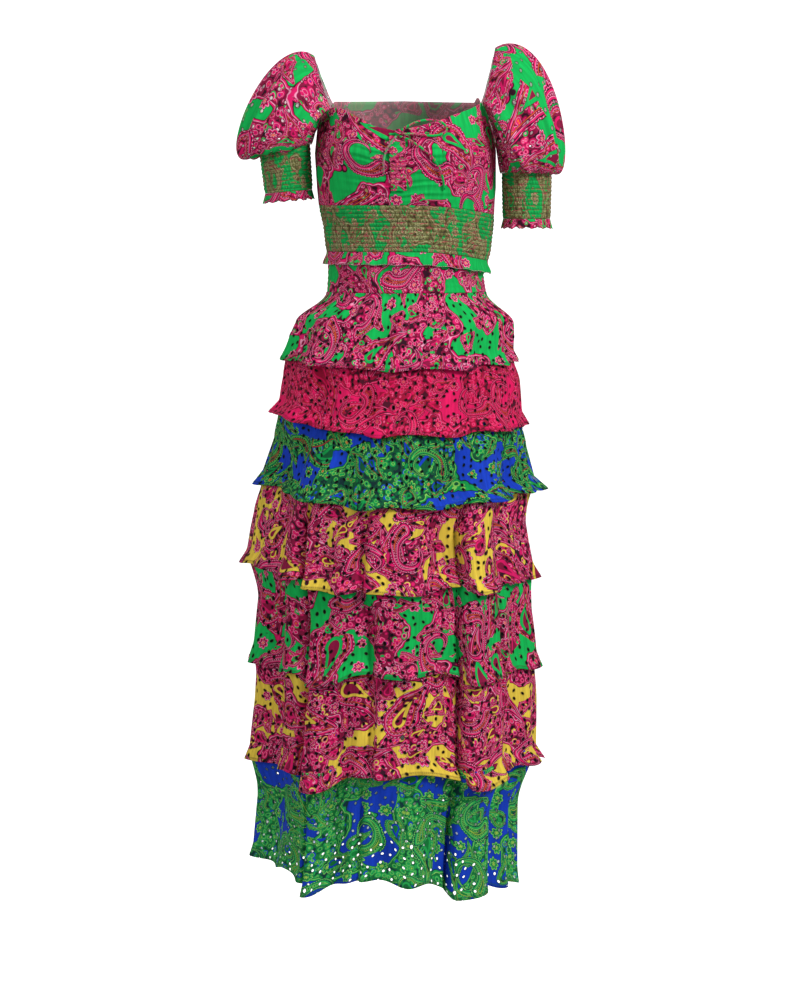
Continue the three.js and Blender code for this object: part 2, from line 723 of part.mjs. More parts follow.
// The tie is a narrow rouleau. Its loop arches to the right of the knot, and both ends hang free.
const TIE = { diameter: 3.6, sides: 8, tailDiameter: 3.2 };
const KNOT = new THREE.Vector3(-3, -114.2, -121);
const KNOT_SIZE = { width: 9, depth: 7, height: 10 };
const LOOP_ROUTE = [
  [1.8, -114.4, -118.6], [12, -112.6, -111.5], [26, -110.2, -105.5], [44, -107.6, -103],
  [60, -103.6, -106.5], [67.5, -102.2, -115], [62, -105.4, -123], [48, -109.8, -126],
  [32, -110.6, -125], [16, -112.4, -123.5], [2, -114.6, -123.2],
];
const RIGHT_TAIL_ROUTE = [
  [-0.4, -114.8, -126.9], [12, -113.4, -131], [27, -113, -140.5], [42, -114.7, -152],
  [53.5, -112.4, -166], [61, -106, -183], [65, -98.8, -203],
];
const LEFT_TAIL_ROUTE = [
  [-5.4, -115.4, -126.6], [-11, -117.8, -133], [-17.5, -117.8, -143], [-22, -114.6, -154],
  [-23.5, -113.2, -166], [-23.5, -109, -180],
];

// A round cord along a smooth path, closed at both ends.
function cordGeometry(route, diameter, stepsPerSpan) {
  const path = new THREE.CatmullRomCurve3(route.map(([x, y, z]) => new THREE.Vector3(x, y, z)));
  const steps = (route.length - 1) * stepsPerSpan;
  const frames = path.computeFrenetFrames(steps, false);
  const points = [];
  const faces = [];
  for (let k = 0; k <= steps; k += 1) {
    const centre = path.getPointAt(k / steps);
    for (let s = 0; s < TIE.sides; s += 1) {
      const turn = TURN * (s / TIE.sides);
      points.push(centre.clone()
        .addScaledVector(frames.normals[k], Math.cos(turn) * diameter / 2)
        .addScaledVector(frames.binormals[k], Math.sin(turn) * diameter / 2));
    }
  }
  for (let k = 0; k < steps; k += 1) {
    for (let s = 0; s < TIE.sides; s += 1) {
      const a = k * TIE.sides + s;
      const b = k * TIE.sides + ((s + 1) % TIE.sides);
      faces.push([a, b, b + TIE.sides], [a, b + TIE.sides, a + TIE.sides]);
    }
  }
  for (let s = 1; s < TIE.sides - 1; s += 1) {
    const last = steps * TIE.sides;
    faces.push([0, s + 1, s], [last, last + s, last + s + 1]);
  }
  return closedGeometry(points, faces);
}

function bowKnot() {
  const geometry = new THREE.SphereGeometry(1, 10, 6);
  geometry.scale(KNOT_SIZE.width / 2, KNOT_SIZE.depth / 2, KNOT_SIZE.height / 2);
  geometry.translate(KNOT.x, KNOT.y, KNOT.z);
  return geometry;
}

addPiece('bow_knot', bowKnot(), GREEN);
addPiece('bow_loop_right', cordGeometry(LOOP_ROUTE, TIE.diameter, 2), GREEN);
addPiece('tie_end_right', cordGeometry(RIGHT_TAIL_ROUTE, TIE.tailDiameter, 3), GREEN);
addPiece('tie_end_left', cordGeometry(LEFT_TAIL_ROUTE, TIE.tailDiameter, 3), PALE_TIE);

export default dress;
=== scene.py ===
"""Looks of the tiered maxi dress: thin gathered cloth with a paisley print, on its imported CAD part.

Sizes are in millimetres, as in the CAD source, and go to metres when a mesh is made. +Z is up and
the garment's front looks along -Y.
"""
import math

import bpy
import numpy as np
from mathutils import Matrix, Vector


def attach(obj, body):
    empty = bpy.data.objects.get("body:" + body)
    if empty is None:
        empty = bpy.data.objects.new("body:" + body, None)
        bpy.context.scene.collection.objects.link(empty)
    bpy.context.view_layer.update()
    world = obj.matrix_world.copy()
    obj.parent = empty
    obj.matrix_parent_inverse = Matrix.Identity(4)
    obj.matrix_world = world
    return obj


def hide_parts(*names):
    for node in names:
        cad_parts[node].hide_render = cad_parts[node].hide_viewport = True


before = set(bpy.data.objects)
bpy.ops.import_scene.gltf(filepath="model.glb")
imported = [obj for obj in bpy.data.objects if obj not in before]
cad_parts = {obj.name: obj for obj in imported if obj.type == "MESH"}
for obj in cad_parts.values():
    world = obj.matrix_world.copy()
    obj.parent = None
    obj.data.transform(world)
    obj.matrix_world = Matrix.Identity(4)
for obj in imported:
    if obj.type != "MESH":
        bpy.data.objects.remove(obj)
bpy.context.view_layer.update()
MM = 0.001
TURN = 2 * math.pi

bpy.context.scene.view_settings.view_transform = "Standard"


def placed(name, data):
    """A new object in the scene."""
    made = bpy.data.objects.new(name, data)
    bpy.context.scene.collection.objects.link(made)
    return made


# Camera, as the photograph was taken

PHOTO_WIDTH = 800
FOCAL_PIXELS = 3015
SENSOR_WIDTH = 36
camera_data = bpy.data.cameras.new("camera")
camera_data.sensor_fit = "HORIZONTAL"
camera_data.sensor_width = SENSOR_WIDTH
camera_data.lens = FOCAL_PIXELS * SENSOR_WIDTH / PHOTO_WIDTH
camera = placed("camera", camera_data)
camera.location = (0, -4.5, -0.217)
camera.rotation_euler = (Vector((0, 0, -0.667)) - camera.location).to_track_quat("-Z", "Y").to_euler()
bpy.context.scene.camera = camera


# Small sums

def ease(t):
    s = np.clip(t, 0, 1)
    return s * s * (3 - 2 * s)


def mix(a, b, t):
    return a + (b - a) * t


def degrees_apart(turn, place):
    """Degrees from a place on the section to a turn in radians, the short way round."""
    away = np.degrees(turn) - place
    return away - 360 * np.round(away / 360)


def inside_edges(t, top, bottom):
    """0 at both ends of t and 1 between them; top and bottom say how steeply it gets there."""
    return ease(t * top) * ease((1 - t) * bottom)


def bell(value, middle, width):
    return np.exp(-((value - middle) / width) ** 2)


def point(x, y, z):
    return np.stack(np.broadcast_arrays(x, y, z), axis=-1).astype(float)


def outwards(angle):
    return point(np.sin(angle), -np.cos(angle), 0.0)


def on_cloth(x, y):
    return np.stack(np.broadcast_arrays(x, y), axis=-1)


# Meshes of cloth

def grid_normals(points, around):
    """The normal at each point of a grid of rows and columns, which looks out of the garment."""
    down = np.gradient(points, axis=0)
    if around:
        across = np.roll(points, -1, axis=1) - np.roll(points, 1, axis=1)
    else:
        across = np.gradient(points, axis=1)
    normal = np.cross(down, across)
    return normal / np.maximum(np.linalg.norm(normal, axis=-1, keepdims=True), 1e-9)


# Where a piece has no cut eyelet, its cut attribute is this far from one, in metres
NO_CUT = 9.0


def cloth_mesh(name, points, flat, around, thickness=1.0, cuts=None, flip=False):
    """A closed thin shell on a grid of points in millimetres. flat holds each point's place on the
    flat cloth. The outer skin takes the first material and the inner skin the second. cuts are the
    places on the flat cloth of the eyelets that are cut through the CAD piece."""
    rows, columns = points.shape[:2]
    normals = grid_normals(points, around) * (-1 if flip else 1)
    inside = points - normals * thickness
    count = rows * columns
    vertices = np.vstack([points.reshape(-1, 3), inside.reshape(-1, 3)]) * MM
    spans = columns if around else columns - 1
    j, i = np.meshgrid(np.arange(rows - 1), np.arange(spans), indexing="ij")
    j, i = j.ravel(), i.ravel()
    k = (i + 1) % columns
    corners = [(j, i), (j + 1, i), (j + 1, k), (j, k)]
    skin = np.stack([a * columns + b for a, b in corners], axis=1)
    if flip:
        skin = skin[:, ::-1]
    loops = [(j, i), (j + 1, i), (j + 1, i + 1), (j, i + 1)]
    places = np.stack([flat[a, b] for a, b in loops], axis=1)
    if flip:
        places = places[:, ::-1]
    faces = [skin, skin[:, ::-1] + count]
    face_places = [places, places[:, ::-1]]

    def close_edge(a, b, a_flat, b_flat):
        """Quads from the outer skin to the inner one along an edge that runs from a to b."""
        quads = np.stack([a, b, b + count, a + count], axis=1)
        spots = np.stack([a_flat, b_flat, b_flat, a_flat], axis=1)
        faces.append(quads[:, ::-1] if flip else quads)
        face_places.append(spots[:, ::-1] if flip else spots)

    span = np.arange(spans)
    after = (span + 1) % columns
    base = (rows - 1) * columns
    close_edge(span, after, flat[0, span], flat[0, span + 1])
    close_edge(after + base, span + base, flat[-1, span + 1], flat[-1, span])
    if not around:
        line = np.arange(rows - 1)
        left = line * columns
        right = left + columns - 1
        close_edge(left + columns, left, flat[line + 1, 0], flat[line, 0])
        close_edge(right, right + columns, flat[line, -1], flat[line + 1, -1])
    quads = np.vstack(faces)
    spots = np.vstack(face_places) * MM
    mesh = bpy.data.meshes.new(name)
    mesh.from_pydata(vertices.tolist(), [], quads.tolist())
    layer = mesh.uv_layers.new(name="cloth")
    layer.data.foreach_set("uv", spots.astype(np.float32).ravel())
    side = np.zeros(len(quads), np.int32)
    side[len(skin):2 * len(skin)] = 1
    mesh.polygons.foreach_set("material_index", side)
    mesh.polygons.foreach_set("use_smooth", np.ones(len(quads), bool))
    offsets = np.full((len(quads), 4, 3), NO_CUT)
    if cuts is not None and len(cuts):
        middles = spots.mean(axis=1)
        away = np.linalg.norm(middles[:, None] - np.asarray(cuts)[None] * MM, axis=-1)
        nearest = np.asarray(cuts)[away.argmin(axis=1)] * MM
        offsets[..., :2] = spots - nearest[:, None]
        offsets[..., 2] = 0
    attribute = mesh.attributes.new("cut", "FLOAT_VECTOR", "CORNER")
    attribute.data.foreach_set("vector", offsets.astype(np.float32).ravel())
    mesh.update()
    return mesh


def add_piece(name, mesh, materials, replaced):
    piece = placed(name, mesh)
    for material in materials:
        mesh.materials.append(material)
    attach(piece, "root")
    if replaced:
        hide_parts(*replaced)
    return piece


# Node helpers

class Sums:
    """Short names for nodes that add, compare and mix inside one shader tree."""

    def __init__(self, tree):
        self.tree = tree

    def make(self, kind, inputs=None, **settings):
        made = self.tree.nodes.new(kind)
        for key, value in settings.items():
            setattr(made, key, value)
        for key, value in (inputs or {}).items():
            if isinstance(value, bpy.types.NodeSocket):
                self.tree.links.new(value, made.inputs[key])
            else:
                made.inputs[key].default_value = value
        return made

    def sum(self, operation, *values):
        return self.make("ShaderNodeMath", dict(enumerate(values)), operation=operation).outputs[0]

    def add(self, a, b):
        return self.sum("ADD", a, b)

    def less(self, a, b):
        return self.sum("SUBTRACT", a, b)

    def times(self, a, b):
        return self.sum("MULTIPLY", a, b)

    def vector(self, operation, *values, output=0):
        return self.make("ShaderNodeVectorMath", dict(enumerate(values)), operation=operation).outputs[output]

    def scaled(self, vector, factor):
        return self.make("ShaderNodeVectorMath", {0: vector, "Scale": factor}, operation="SCALE").outputs[0]

    def step(self, value, start, end):
        """0 at start and 1 at end, with a soft edge; start may be above end."""
        return self.make("ShaderNodeMapRange", {"Value": value, "From Min": start, "From Max": end},
                         interpolation_type="SMOOTHSTEP").outputs["Result"]

    def band(self, value, middle, half, soft):
        """1 within half of the middle."""
        away = self.sum("ABSOLUTE", self.less(value, middle))
        if isinstance(half, float):
            return self.step(away, half + soft, max(half - soft, 0.0))
        return self.step(away, self.add(half, soft), self.less(half, soft))

    def colour(self, mask, below, above):
        made = self.make("ShaderNodeMix", {0: mask, 6: below, 7: above}, data_type="RGBA")
        return made.outputs[2]

    def split(self, vector):
        return self.make("ShaderNodeSeparateXYZ", {0: vector}).outputs

    def join(self, x, y, z=0.0):
        return self.make("ShaderNodeCombineXYZ", {0: x, 1: y, 2: z}).outputs[0]

    def channels(self, colour):
        return self.make("ShaderNodeSeparateColor", {0: colour}).outputs

    def cells(self, vector, scale, randomness):
        inputs = {"Vector": vector, "Scale": scale, "Randomness": randomness}
        return self.make("ShaderNodeTexVoronoi", inputs).outputs

    def turned(self, vector, angle):
        inputs = {"Vector": vector, "Angle": angle}
        return self.make("ShaderNodeVectorRotate", inputs, rotation_type="Z_AXIS").outputs[0]

    def mixed(self, factor, below, above):
        return self.make("ShaderNodeMix", {0: factor, 2: below, 3: above}).outputs[0]

    def swing(self, value):
        """The size of the sine of a value."""
        return self.sum("ABSOLUTE", self.sum("SINE", value))

    def group(self, tree, place):
        """A shader group with its Place linked."""
        return self.make("ShaderNodeGroup", {"Place": place}, node_tree=tree)

    def noise(self, vector, scale, detail=2.0, **more):
        return self.make("ShaderNodeTexNoise", {"Vector": vector, "Scale": scale, "Detail": detail, **more})


def new_group(name, inputs, outputs):
    """A shader node group and its sums. inputs are (name, kind, value) and outputs (name, kind)."""
    group = bpy.data.node_groups.new(name, "ShaderNodeTree")
    kinds = {"colour": "NodeSocketColor", "number": "NodeSocketFloat", "vector": "NodeSocketVector"}
    for label, kind, value in inputs:
        socket = group.interface.new_socket(label, in_out="INPUT", socket_type=kinds[kind])
        socket.default_value = value
    for label, kind in outputs:
        group.interface.new_socket(label, in_out="OUTPUT", socket_type=kinds[kind])
    entry = group.nodes.new("NodeGroupInput")
    leave = group.nodes.new("NodeGroupOutput")
    return group, Sums(group), entry.outputs, leave.inputs


def rgb(red, green, blue):
    """A colour of the photograph, 0 to 255 in each channel, in linear values."""
    channels = [c / 255 for c in (red, green, blue)]
    return [c / 12.92 if c <= 0.04045 else ((c + 0.055) / 1.055) ** 2.4 for c in channels] + [1.0]


# Print

def teardrop_in(s, where, cells, size, bend):
    """How far a place on the cloth lies outside the curved teardrop of its Voronoi cell, in metres,
    with the turn round the motif and a random number for it."""
    away = s.vector("SUBTRACT", where, cells["Position"])
    random = s.channels(cells["Color"])
    x, y, _ = s.split(s.turned(away, s.times(random[0], TURN)))
    length = s.times(s.add(0.8, s.times(random[1], 0.35)), size)
    height = s.add(s.sum("DIVIDE", y, length), 0.36)
    side = s.less(s.sum("DIVIDE", x, length), s.times(s.times(height, height), bend))
    wide, narrow = 0.40, 0.05
    lean = wide - narrow
    straight = math.sqrt(1 - lean * lean)
    across = s.sum("ABSOLUTE", side)
    along = s.add(s.times(across, -lean), s.times(height, straight))
    round_end = s.less(s.vector("LENGTH", s.join(across, height), output=1), wide)
    top = s.less(s.vector("LENGTH", s.join(across, s.less(height, 1.0)), output=1), narrow)
    flank = s.less(s.add(s.times(across, straight), s.times(height, lean)), wide)
    lower = s.mixed(s.step(along, -0.001, 0.001), round_end, flank)
    outside = s.mixed(s.step(along, straight - 0.001, straight + 0.001), lower, top)
    return s.times(outside, length), s.sum("ARCTAN2", side, height), random[2]


def hook_in(s, where, cells, size):
    """As teardrop_in, for a fat head that draws out into a curling tail."""
    away = s.vector("SUBTRACT", where, cells["Position"])
    random = s.channels(cells["Color"])
    x, y, _ = s.split(s.turned(away, s.times(random[1], TURN)))
    hand = s.less(s.times(s.step(random[0], 0.49, 0.51), 2.0), 1.0)
    x = s.times(x, s.times(hand, 1.3))
    turn = s.sum("ARCTAN2", x, y)
    tail = s.add(s.sum("DIVIDE", turn, TURN), 0.5)
    middle = s.times(size, s.less(0.43, s.times(tail, 0.30)))
    half = s.times(size, s.less(0.165, s.times(tail, 0.19)))
    reach = s.vector("LENGTH", s.join(x, y), output=1)
    curl = s.less(s.sum("ABSOLUTE", s.less(reach, middle)), half)
    from_head = s.vector("LENGTH", s.join(x, s.add(y, s.times(size, 0.43))), output=1)
    head = s.less(from_head, s.times(size, 0.168))
    return s.sum("MINIMUM", curl, head), s.times(turn, 2.2), random[2]


def layered(s, value, first, layers, soft):
    """Colours in bands: each layer is (where it starts, colour), and value falls from one to the next."""
    colour = first
    for start, layer in layers:
        colour = s.colour(s.step(value, start + soft, start - soft), colour, layer)
    return colour


# The motifs over the leafy patches, each over the last: kind, size as a share of the motif size, how
# far it bends, and the share of places that stay without one
MOTIFS = [("drop", 0.50, -0.42, 0.50), ("drop", 0.95, 0.50, 0.62), ("hook", 1.15, 0.0, 0.42)]


def print_group():
    """Curling paisleys and flowers over leafy patches of small petals, on a ground colour."""
    group, s, given, out = new_group("Paisley print", [
        ("Place", "vector", (0, 0, 0)),
        ("Seed", "number", 0.0),
        ("Motif Size", "number", 0.066),
        ("Ground Share", "number", 0.475),
        ("Fewer Motifs", "number", 0.0),
        ("Ground", "colour", rgb(0, 190, 90)),
        ("Deep", "colour", rgb(130, 15, 70)),
        ("Mid", "colour", rgb(232, 17, 107)),
        ("Light", "colour", rgb(240, 138, 184)),
        ("Accent", "colour", rgb(240, 98, 42)),
        ("Spot", "colour", rgb(96, 44, 150)),
        ("Outline", "colour", rgb(60, 12, 40)),
    ], [("Color", "colour")])
    ground, deep, mid = given["Ground"], given["Deep"], given["Mid"]
    light, accent, outline = given["Light"], given["Accent"], given["Outline"]
    drift = s.noise(given["Place"], 20.0, 1.0)
    sway = s.scaled(s.vector("SUBTRACT", drift.outputs["Color"], (0.5, 0.5, 0.5)), 0.020)
    x, y, _ = s.split(s.vector("ADD", given["Place"], sway))
    place = s.join(x, y, s.times(given["Seed"], 0.37))

    # A mosaic of small petals
    petal = s.cells(place, 135.0, 0.9)
    chance = s.channels(petal["Color"])
    heart = s.colour(s.step(chance[0], 0.72, 0.74), outline, accent)
    heart = s.colour(s.step(chance[0], 0.16, 0.14), heart, given["Spot"])
    leaf = s.colour(s.step(chance[1], 0.48, 0.50), mid, deep)
    leaf = s.colour(s.step(chance[1], 0.14, 0.12), leaf, ground)
    mosaic = layered(s, petal["Distance"], outline, [
        (0.72, deep), (0.60, leaf), (0.42, light), (0.37, mid), (0.17, heart)], 0.03)

    # Leafy patches with jagged edges
    field = s.noise(place, 21.0, 0.0).outputs["Fac"]
    jagged = s.times(s.cells(place, 80.0, 0.5)["Distance"], 0.06)
    depth = s.less(s.add(given["Ground Share"], jagged), s.add(field, 0.026))
    colour = layered(s, depth, ground, [
        (0.0, outline), (-0.011, mid), (-0.030, light), (-0.038, deep), (-0.056, mosaic)], 0.0025)

    # Small flowers
    cells = s.cells(place, 36.0, 0.8)
    away_x, away_y, _ = s.split(s.vector("SUBTRACT", place, cells["Position"]))
    reach = s.vector("LENGTH", s.join(away_x, away_y), output=1)
    around = s.sum("ARCTAN2", away_x, away_y)
    petals = s.times(s.sum("ABSOLUTE", s.sum("COSINE", s.times(around, 3.5))), 0.0028)
    edge = s.less(reach, s.add(0.0062, petals))
    flower = layered(s, edge, outline, [
        (-0.0007, light), (-0.0018, mid), (-0.0038, outline), (-0.0045, deep), (-0.0056, light),
        (-0.0066, accent)], 0.0002)
    chance = s.channels(cells["Color"])[0]
    shown = s.times(s.step(chance, 0.56, 0.57), s.step(edge, 0.0003, -0.0003))
    colour = s.colour(shown, colour, flower)

    # Small teardrops, large teardrops and curling hooks, each over the last
    for kind, share, bend, threshold in MOTIFS:
        size = s.times(given["Motif Size"], share)
        where = s.vector("ADD", place, (0.31 * share, 0.17 * share, share))
        cell_scale = s.sum("DIVIDE", 1.0, s.times(size, 1.14))
        cells = s.cells(where, cell_scale, 0.6)
        if kind == "drop":
            outside, turn, chance = teardrop_in(s, where, cells, size, bend)
        else:
            outside, turn, chance = hook_in(s, where, cells, size)
        inner = s.sum("DIVIDE", outside, size)
        scallop = s.swing(s.times(turn, 8.0))
        unit = s.less(inner, s.times(scallop, 0.018))
        rays = s.step(s.swing(s.times(turn, 16.0)), 0.75, 0.9)
        beads = s.step(s.sum("SINE", s.times(turn, 26.0)), 0.1, 0.4)
        fill = layered(s, unit, outline, [(-0.015, s.colour(rays, mid, light)), (-0.036, outline)], 0.003)
        fill = layered(s, inner, fill, [
            (-0.043, mid), (-0.074, light), (-0.082, deep), (-0.096, s.colour(beads, deep, light)),
            (-0.110, deep), (-0.126, accent), (-0.136, outline), (-0.143, mosaic)], 0.003)
        if kind == "drop":
            heart = s.colour(s.step(chance, 0.7400, 0.7401), mid, ground)
            fill = layered(s, inner, fill, [(-0.235, outline), (-0.244, heart), (-0.310, deep)], 0.003)
        chosen = s.step(s.less(chance, given["Fewer Motifs"]), threshold, threshold + 0.001)
        shown = s.times(chosen, s.step(unit, 0.004, -0.004))
        colour = s.colour(shown, colour, fill)
    s.tree.links.new(colour, out["Color"])
    return group


# Eyelets, weave and smocking

EYELET_SPACING = 15.0
# Length and width of the eyelets, in metres: the small ones, those that the CAD pieces have too, and
# the small ones of the last tier and of the sleeves
EYELET = (0.0052, 0.0037)
CUT_EYELET = (0.0064, 0.0044)
LAST_TIER_EYELET = (0.0042, 0.0031)
SLEEVE_EYELET = (0.0036, 0.0027)


def eyelet_group():
    """Small stitched holes in a half-drop net, each moved and turned a little, and the larger holes
    that the CAD piece has too. Open is 0 in a hole. Stitch is the raised ring of thread round it."""
    group, s, given, out = new_group("Eyelets", [
        ("Place", "vector", (0, 0, 0)),
        ("Cut", "vector", (9, 9, 0)),
        ("Spacing", "number", EYELET_SPACING * MM),
        ("Length", "number", EYELET[0]),
        ("Width", "number", EYELET[1]),
        ("Large Length", "number", CUT_EYELET[0]),
        ("Large Width", "number", CUT_EYELET[1]),
        ("Thread", "number", 0.0010),
    ], [("Open", "number"), ("Large Open", "number"), ("Stitch", "number"), ("Shade", "number")])
    x, y, _ = s.split(given["Place"])
    column_place = s.sum("DIVIDE", x, given["Spacing"])
    column = s.sum("FLOOR", column_place)
    odd = s.sum("FLOORED_MODULO", column, 2.0)
    row_height = s.times(given["Spacing"], 0.92)
    row_place = s.add(s.sum("DIVIDE", y, row_height), s.times(odd, 0.5))
    row = s.sum("FLOOR", row_place)
    cell = s.make("ShaderNodeTexWhiteNoise", {"Vector": s.join(column, row, 0.0)}, noise_dimensions="3D")
    random = s.channels(cell.outputs["Color"])

    def from_middle(place, cell_place, chance):
        """How far a place lies from the middle of the eyelet of its cell, which is moved by chance."""
        return s.less(s.less(place, cell_place), s.add(0.5, s.times(s.less(chance, 0.5), 0.62)))

    away_x = from_middle(column_place, column, random[0])
    away_y = from_middle(row_place, row, random[1])
    place = s.join(s.times(away_x, given["Spacing"]), s.times(away_y, row_height))
    lean = s.times(s.less(random[2], 0.5), 2.2)
    turned = s.turned(place, lean)

    def oval(vector, width, length):
        """How far outside an oval a place lies, as a distance along the cloth."""
        across, along, _ = s.split(vector)
        a = s.sum("DIVIDE", across, s.times(width, 0.5))
        b = s.sum("DIVIDE", along, s.times(length, 0.5))
        return s.times(s.less(s.vector("LENGTH", s.join(a, b), output=1), 1.0), s.times(width, 0.5))

    small = oval(turned, given["Width"], given["Length"])
    large = oval(given["Cut"], given["Large Width"], given["Large Length"])
    clear = s.step(s.vector("LENGTH", given["Cut"], output=1), 0.0075, 0.0085)
    small = s.add(small, s.times(s.less(1.0, clear), 0.05))
    edge = s.sum("MINIMUM", small, large)
    s.tree.links.new(s.step(edge, -0.0002, 0.0001), out["Open"])
    s.tree.links.new(s.step(large, -0.0002, 0.0001), out["Large Open"])
    ring = s.band(edge, s.times(given["Thread"], 0.55), s.times(given["Thread"], 0.5), 0.0003)
    s.tree.links.new(ring, out["Stitch"])
    s.tree.links.new(s.step(edge, 0.0009, 0.0003), out["Shade"])
    return group


def crinkle_group():
    """Height of the thin cotton: its threads, and fine uneven creases that run down the cloth. Its
    second output is the creases alone, which places painted shade in their hollows.
    """
    group, s, given, out = new_group("Crinkled cotton", [
        ("Place", "vector", (0, 0, 0)),
        ("Thread Spacing", "number", 0.0009),
        ("Crease Spacing", "number", 0.0045),
        ("Crease Height", "number", 0.6),
    ], [("Height", "number"), ("Crease Shade", "number")])
    x, y, _ = s.split(given["Place"])
    warp = s.sum("SINE", s.sum("DIVIDE", s.times(x, TURN), given["Thread Spacing"]))
    weft = s.sum("SINE", s.sum("DIVIDE", s.times(y, TURN), given["Thread Spacing"]))
    stretched = s.join(s.sum("DIVIDE", x, given["Crease Spacing"]),
                       s.sum("DIVIDE", y, s.times(given["Crease Spacing"], 9.0)))
    crease = s.noise(stretched, 1.0, 3.0).outputs["Fac"]
    threads = s.times(s.times(warp, weft), 0.06)
    s.tree.links.new(s.add(threads, s.times(crease, given["Crease Height"])), out["Height"])
    s.tree.links.new(crease, out["Crease Shade"])
    return group


# Spacing of the elastic rows and of the puffs between them, in millimetres
SMOCK_ROW = 6.2
SMOCK_PUFF = 4.6


def smocking_group():
    """Height of elastic shirring: rows of stitches with small puffs of cloth between them. Row is 0
    along the rows and 1 on the puffs; it places the painted shade in the grooves along the rows.
    """
    group, s, given, out = new_group("Smocking", [
        ("Place", "vector", (0, 0, 0)),
        ("Row Spacing", "number", SMOCK_ROW * MM),
        ("Puff Spacing", "number", SMOCK_PUFF * MM),
    ], [("Height", "number"), ("Row", "number")])
    x, y, _ = s.split(given["Place"])
    sway = s.less(s.noise(given["Place"], 90.0, 1.0).outputs["Fac"], 0.5)
    rows = s.add(s.sum("DIVIDE", y, given["Row Spacing"]), s.times(sway, 0.35))
    between_rows = s.swing(s.times(rows, math.pi))
    odd = s.sum("FLOORED_MODULO", s.sum("FLOOR", rows), 2.0)
    puffs = s.add(s.add(s.sum("DIVIDE", x, given["Puff Spacing"]), s.times(odd, 0.5)), s.times(sway, 1.4))
    puff = s.swing(s.times(puffs, math.pi))
    s.tree.links.new(s.times(s.sum("POWER", between_rows, 0.6), s.sum("POWER", puff, 0.7)), out["Height"])
    s.tree.links.new(s.step(between_rows, 0.0, 0.35), out["Row"])
    return group


def hem_group():
    """The narrow turned hem of a tier and its line of stitches."""
    group, s, given, out = new_group("Turned hem", [
        ("Place", "vector", (0, 0, 0)),
        ("Hem Place", "number", -0.1),
        ("Hem Width", "number", 0.0045),
    ], [("Height", "number"), ("Line", "number")])
    _, y, _ = s.split(given["Place"])
    above = s.less(y, given["Hem Place"])
    width = given["Hem Width"]
    s.tree.links.new(s.step(above, s.times(width, 1.15), s.times(width, 0.85)), out["Height"])
    s.tree.links.new(s.band(above, width, 0.0004, 0.0003), out["Line"])
    return group


PAISLEY = print_group()
HEM = hem_group()
EYELETS = eyelet_group()
CRINKLE = crinkle_group()
SMOCKING = smocking_group()

# Colours

BLACK = (0.0, 0.0, 0.0, 1.0)
PLUM = rgb(142, 8, 62)
COBALT = rgb(12, 62, 196)
# The motifs' colours in the green and the yellow cloth
BRIGHT = dict(Deep=PLUM, Mid=rgb(226, 18, 104), Light=rgb(248, 160, 194), Accent=rgb(244, 104, 40),
              Outline=rgb(50, 4, 30))

PRINTS = {
    "green": dict(BRIGHT, Ground=rgb(0, 186, 84)),
    "yellow": dict(BRIGHT, Ground=rgb(238, 206, 72)),
    "pink": dict(Ground=rgb(232, 16, 96), Deep=rgb(168, 2, 56), Mid=rgb(222, 8, 84),
                 Light=rgb(244, 96, 146), Accent=rgb(214, 70, 30), Outline=rgb(78, 4, 34)),
    "blue": dict(Ground=COBALT, Deep=rgb(0, 88, 50), Mid=rgb(0, 156, 72), Light=rgb(140, 216, 92),
                 Accent=rgb(214, 26, 40), Outline=rgb(2, 44, 46)),
    "sea": dict(Ground=COBALT, Deep=rgb(10, 128, 58), Mid=rgb(34, 176, 84), Light=rgb(146, 224, 110),
                Accent=rgb(178, 214, 72), Outline=rgb(4, 60, 60)),
    "smocked": dict(Ground=rgb(10, 172, 80), Deep=rgb(112, 108, 62), Mid=rgb(138, 140, 88),
                    Light=rgb(196, 190, 142), Accent=rgb(176, 44, 76), Spot=rgb(26, 150, 76),
                    Outline=rgb(88, 76, 48)),
}


# How the wrong side looks: how much of the print is lost, the tone it goes to, the painted light
# through it (an emission), where down the cloth that light starts and is full, and whether the small
# eyelets are painted dark there. SHADED_INSIDE goes nearly to black as painted shade inside the skirt.
PLAIN_INSIDE = (0.5, (0.30, 0.27, 0.25, 1.0), 0.0, None, False)
SHADED_INSIDE = (0.85, (0.012, 0.008, 0.010, 1.0), 0.0, None, True)
BACKLIT_INSIDE = (0.62, (0.80, 0.86, 0.84, 1.0), 0.75, (-0.10, -0.20), False)
SLEEVE_INSIDE = (0.62, (0.80, 0.82, 0.80, 1.0), 0.25, None, False)


def empty_material(name):
    """A material without nodes, and the sums of its tree."""
    material = bpy.data.materials.new(name)
    material.use_nodes = True
    material.node_tree.nodes.clear()
    return material, Sums(material.node_tree)


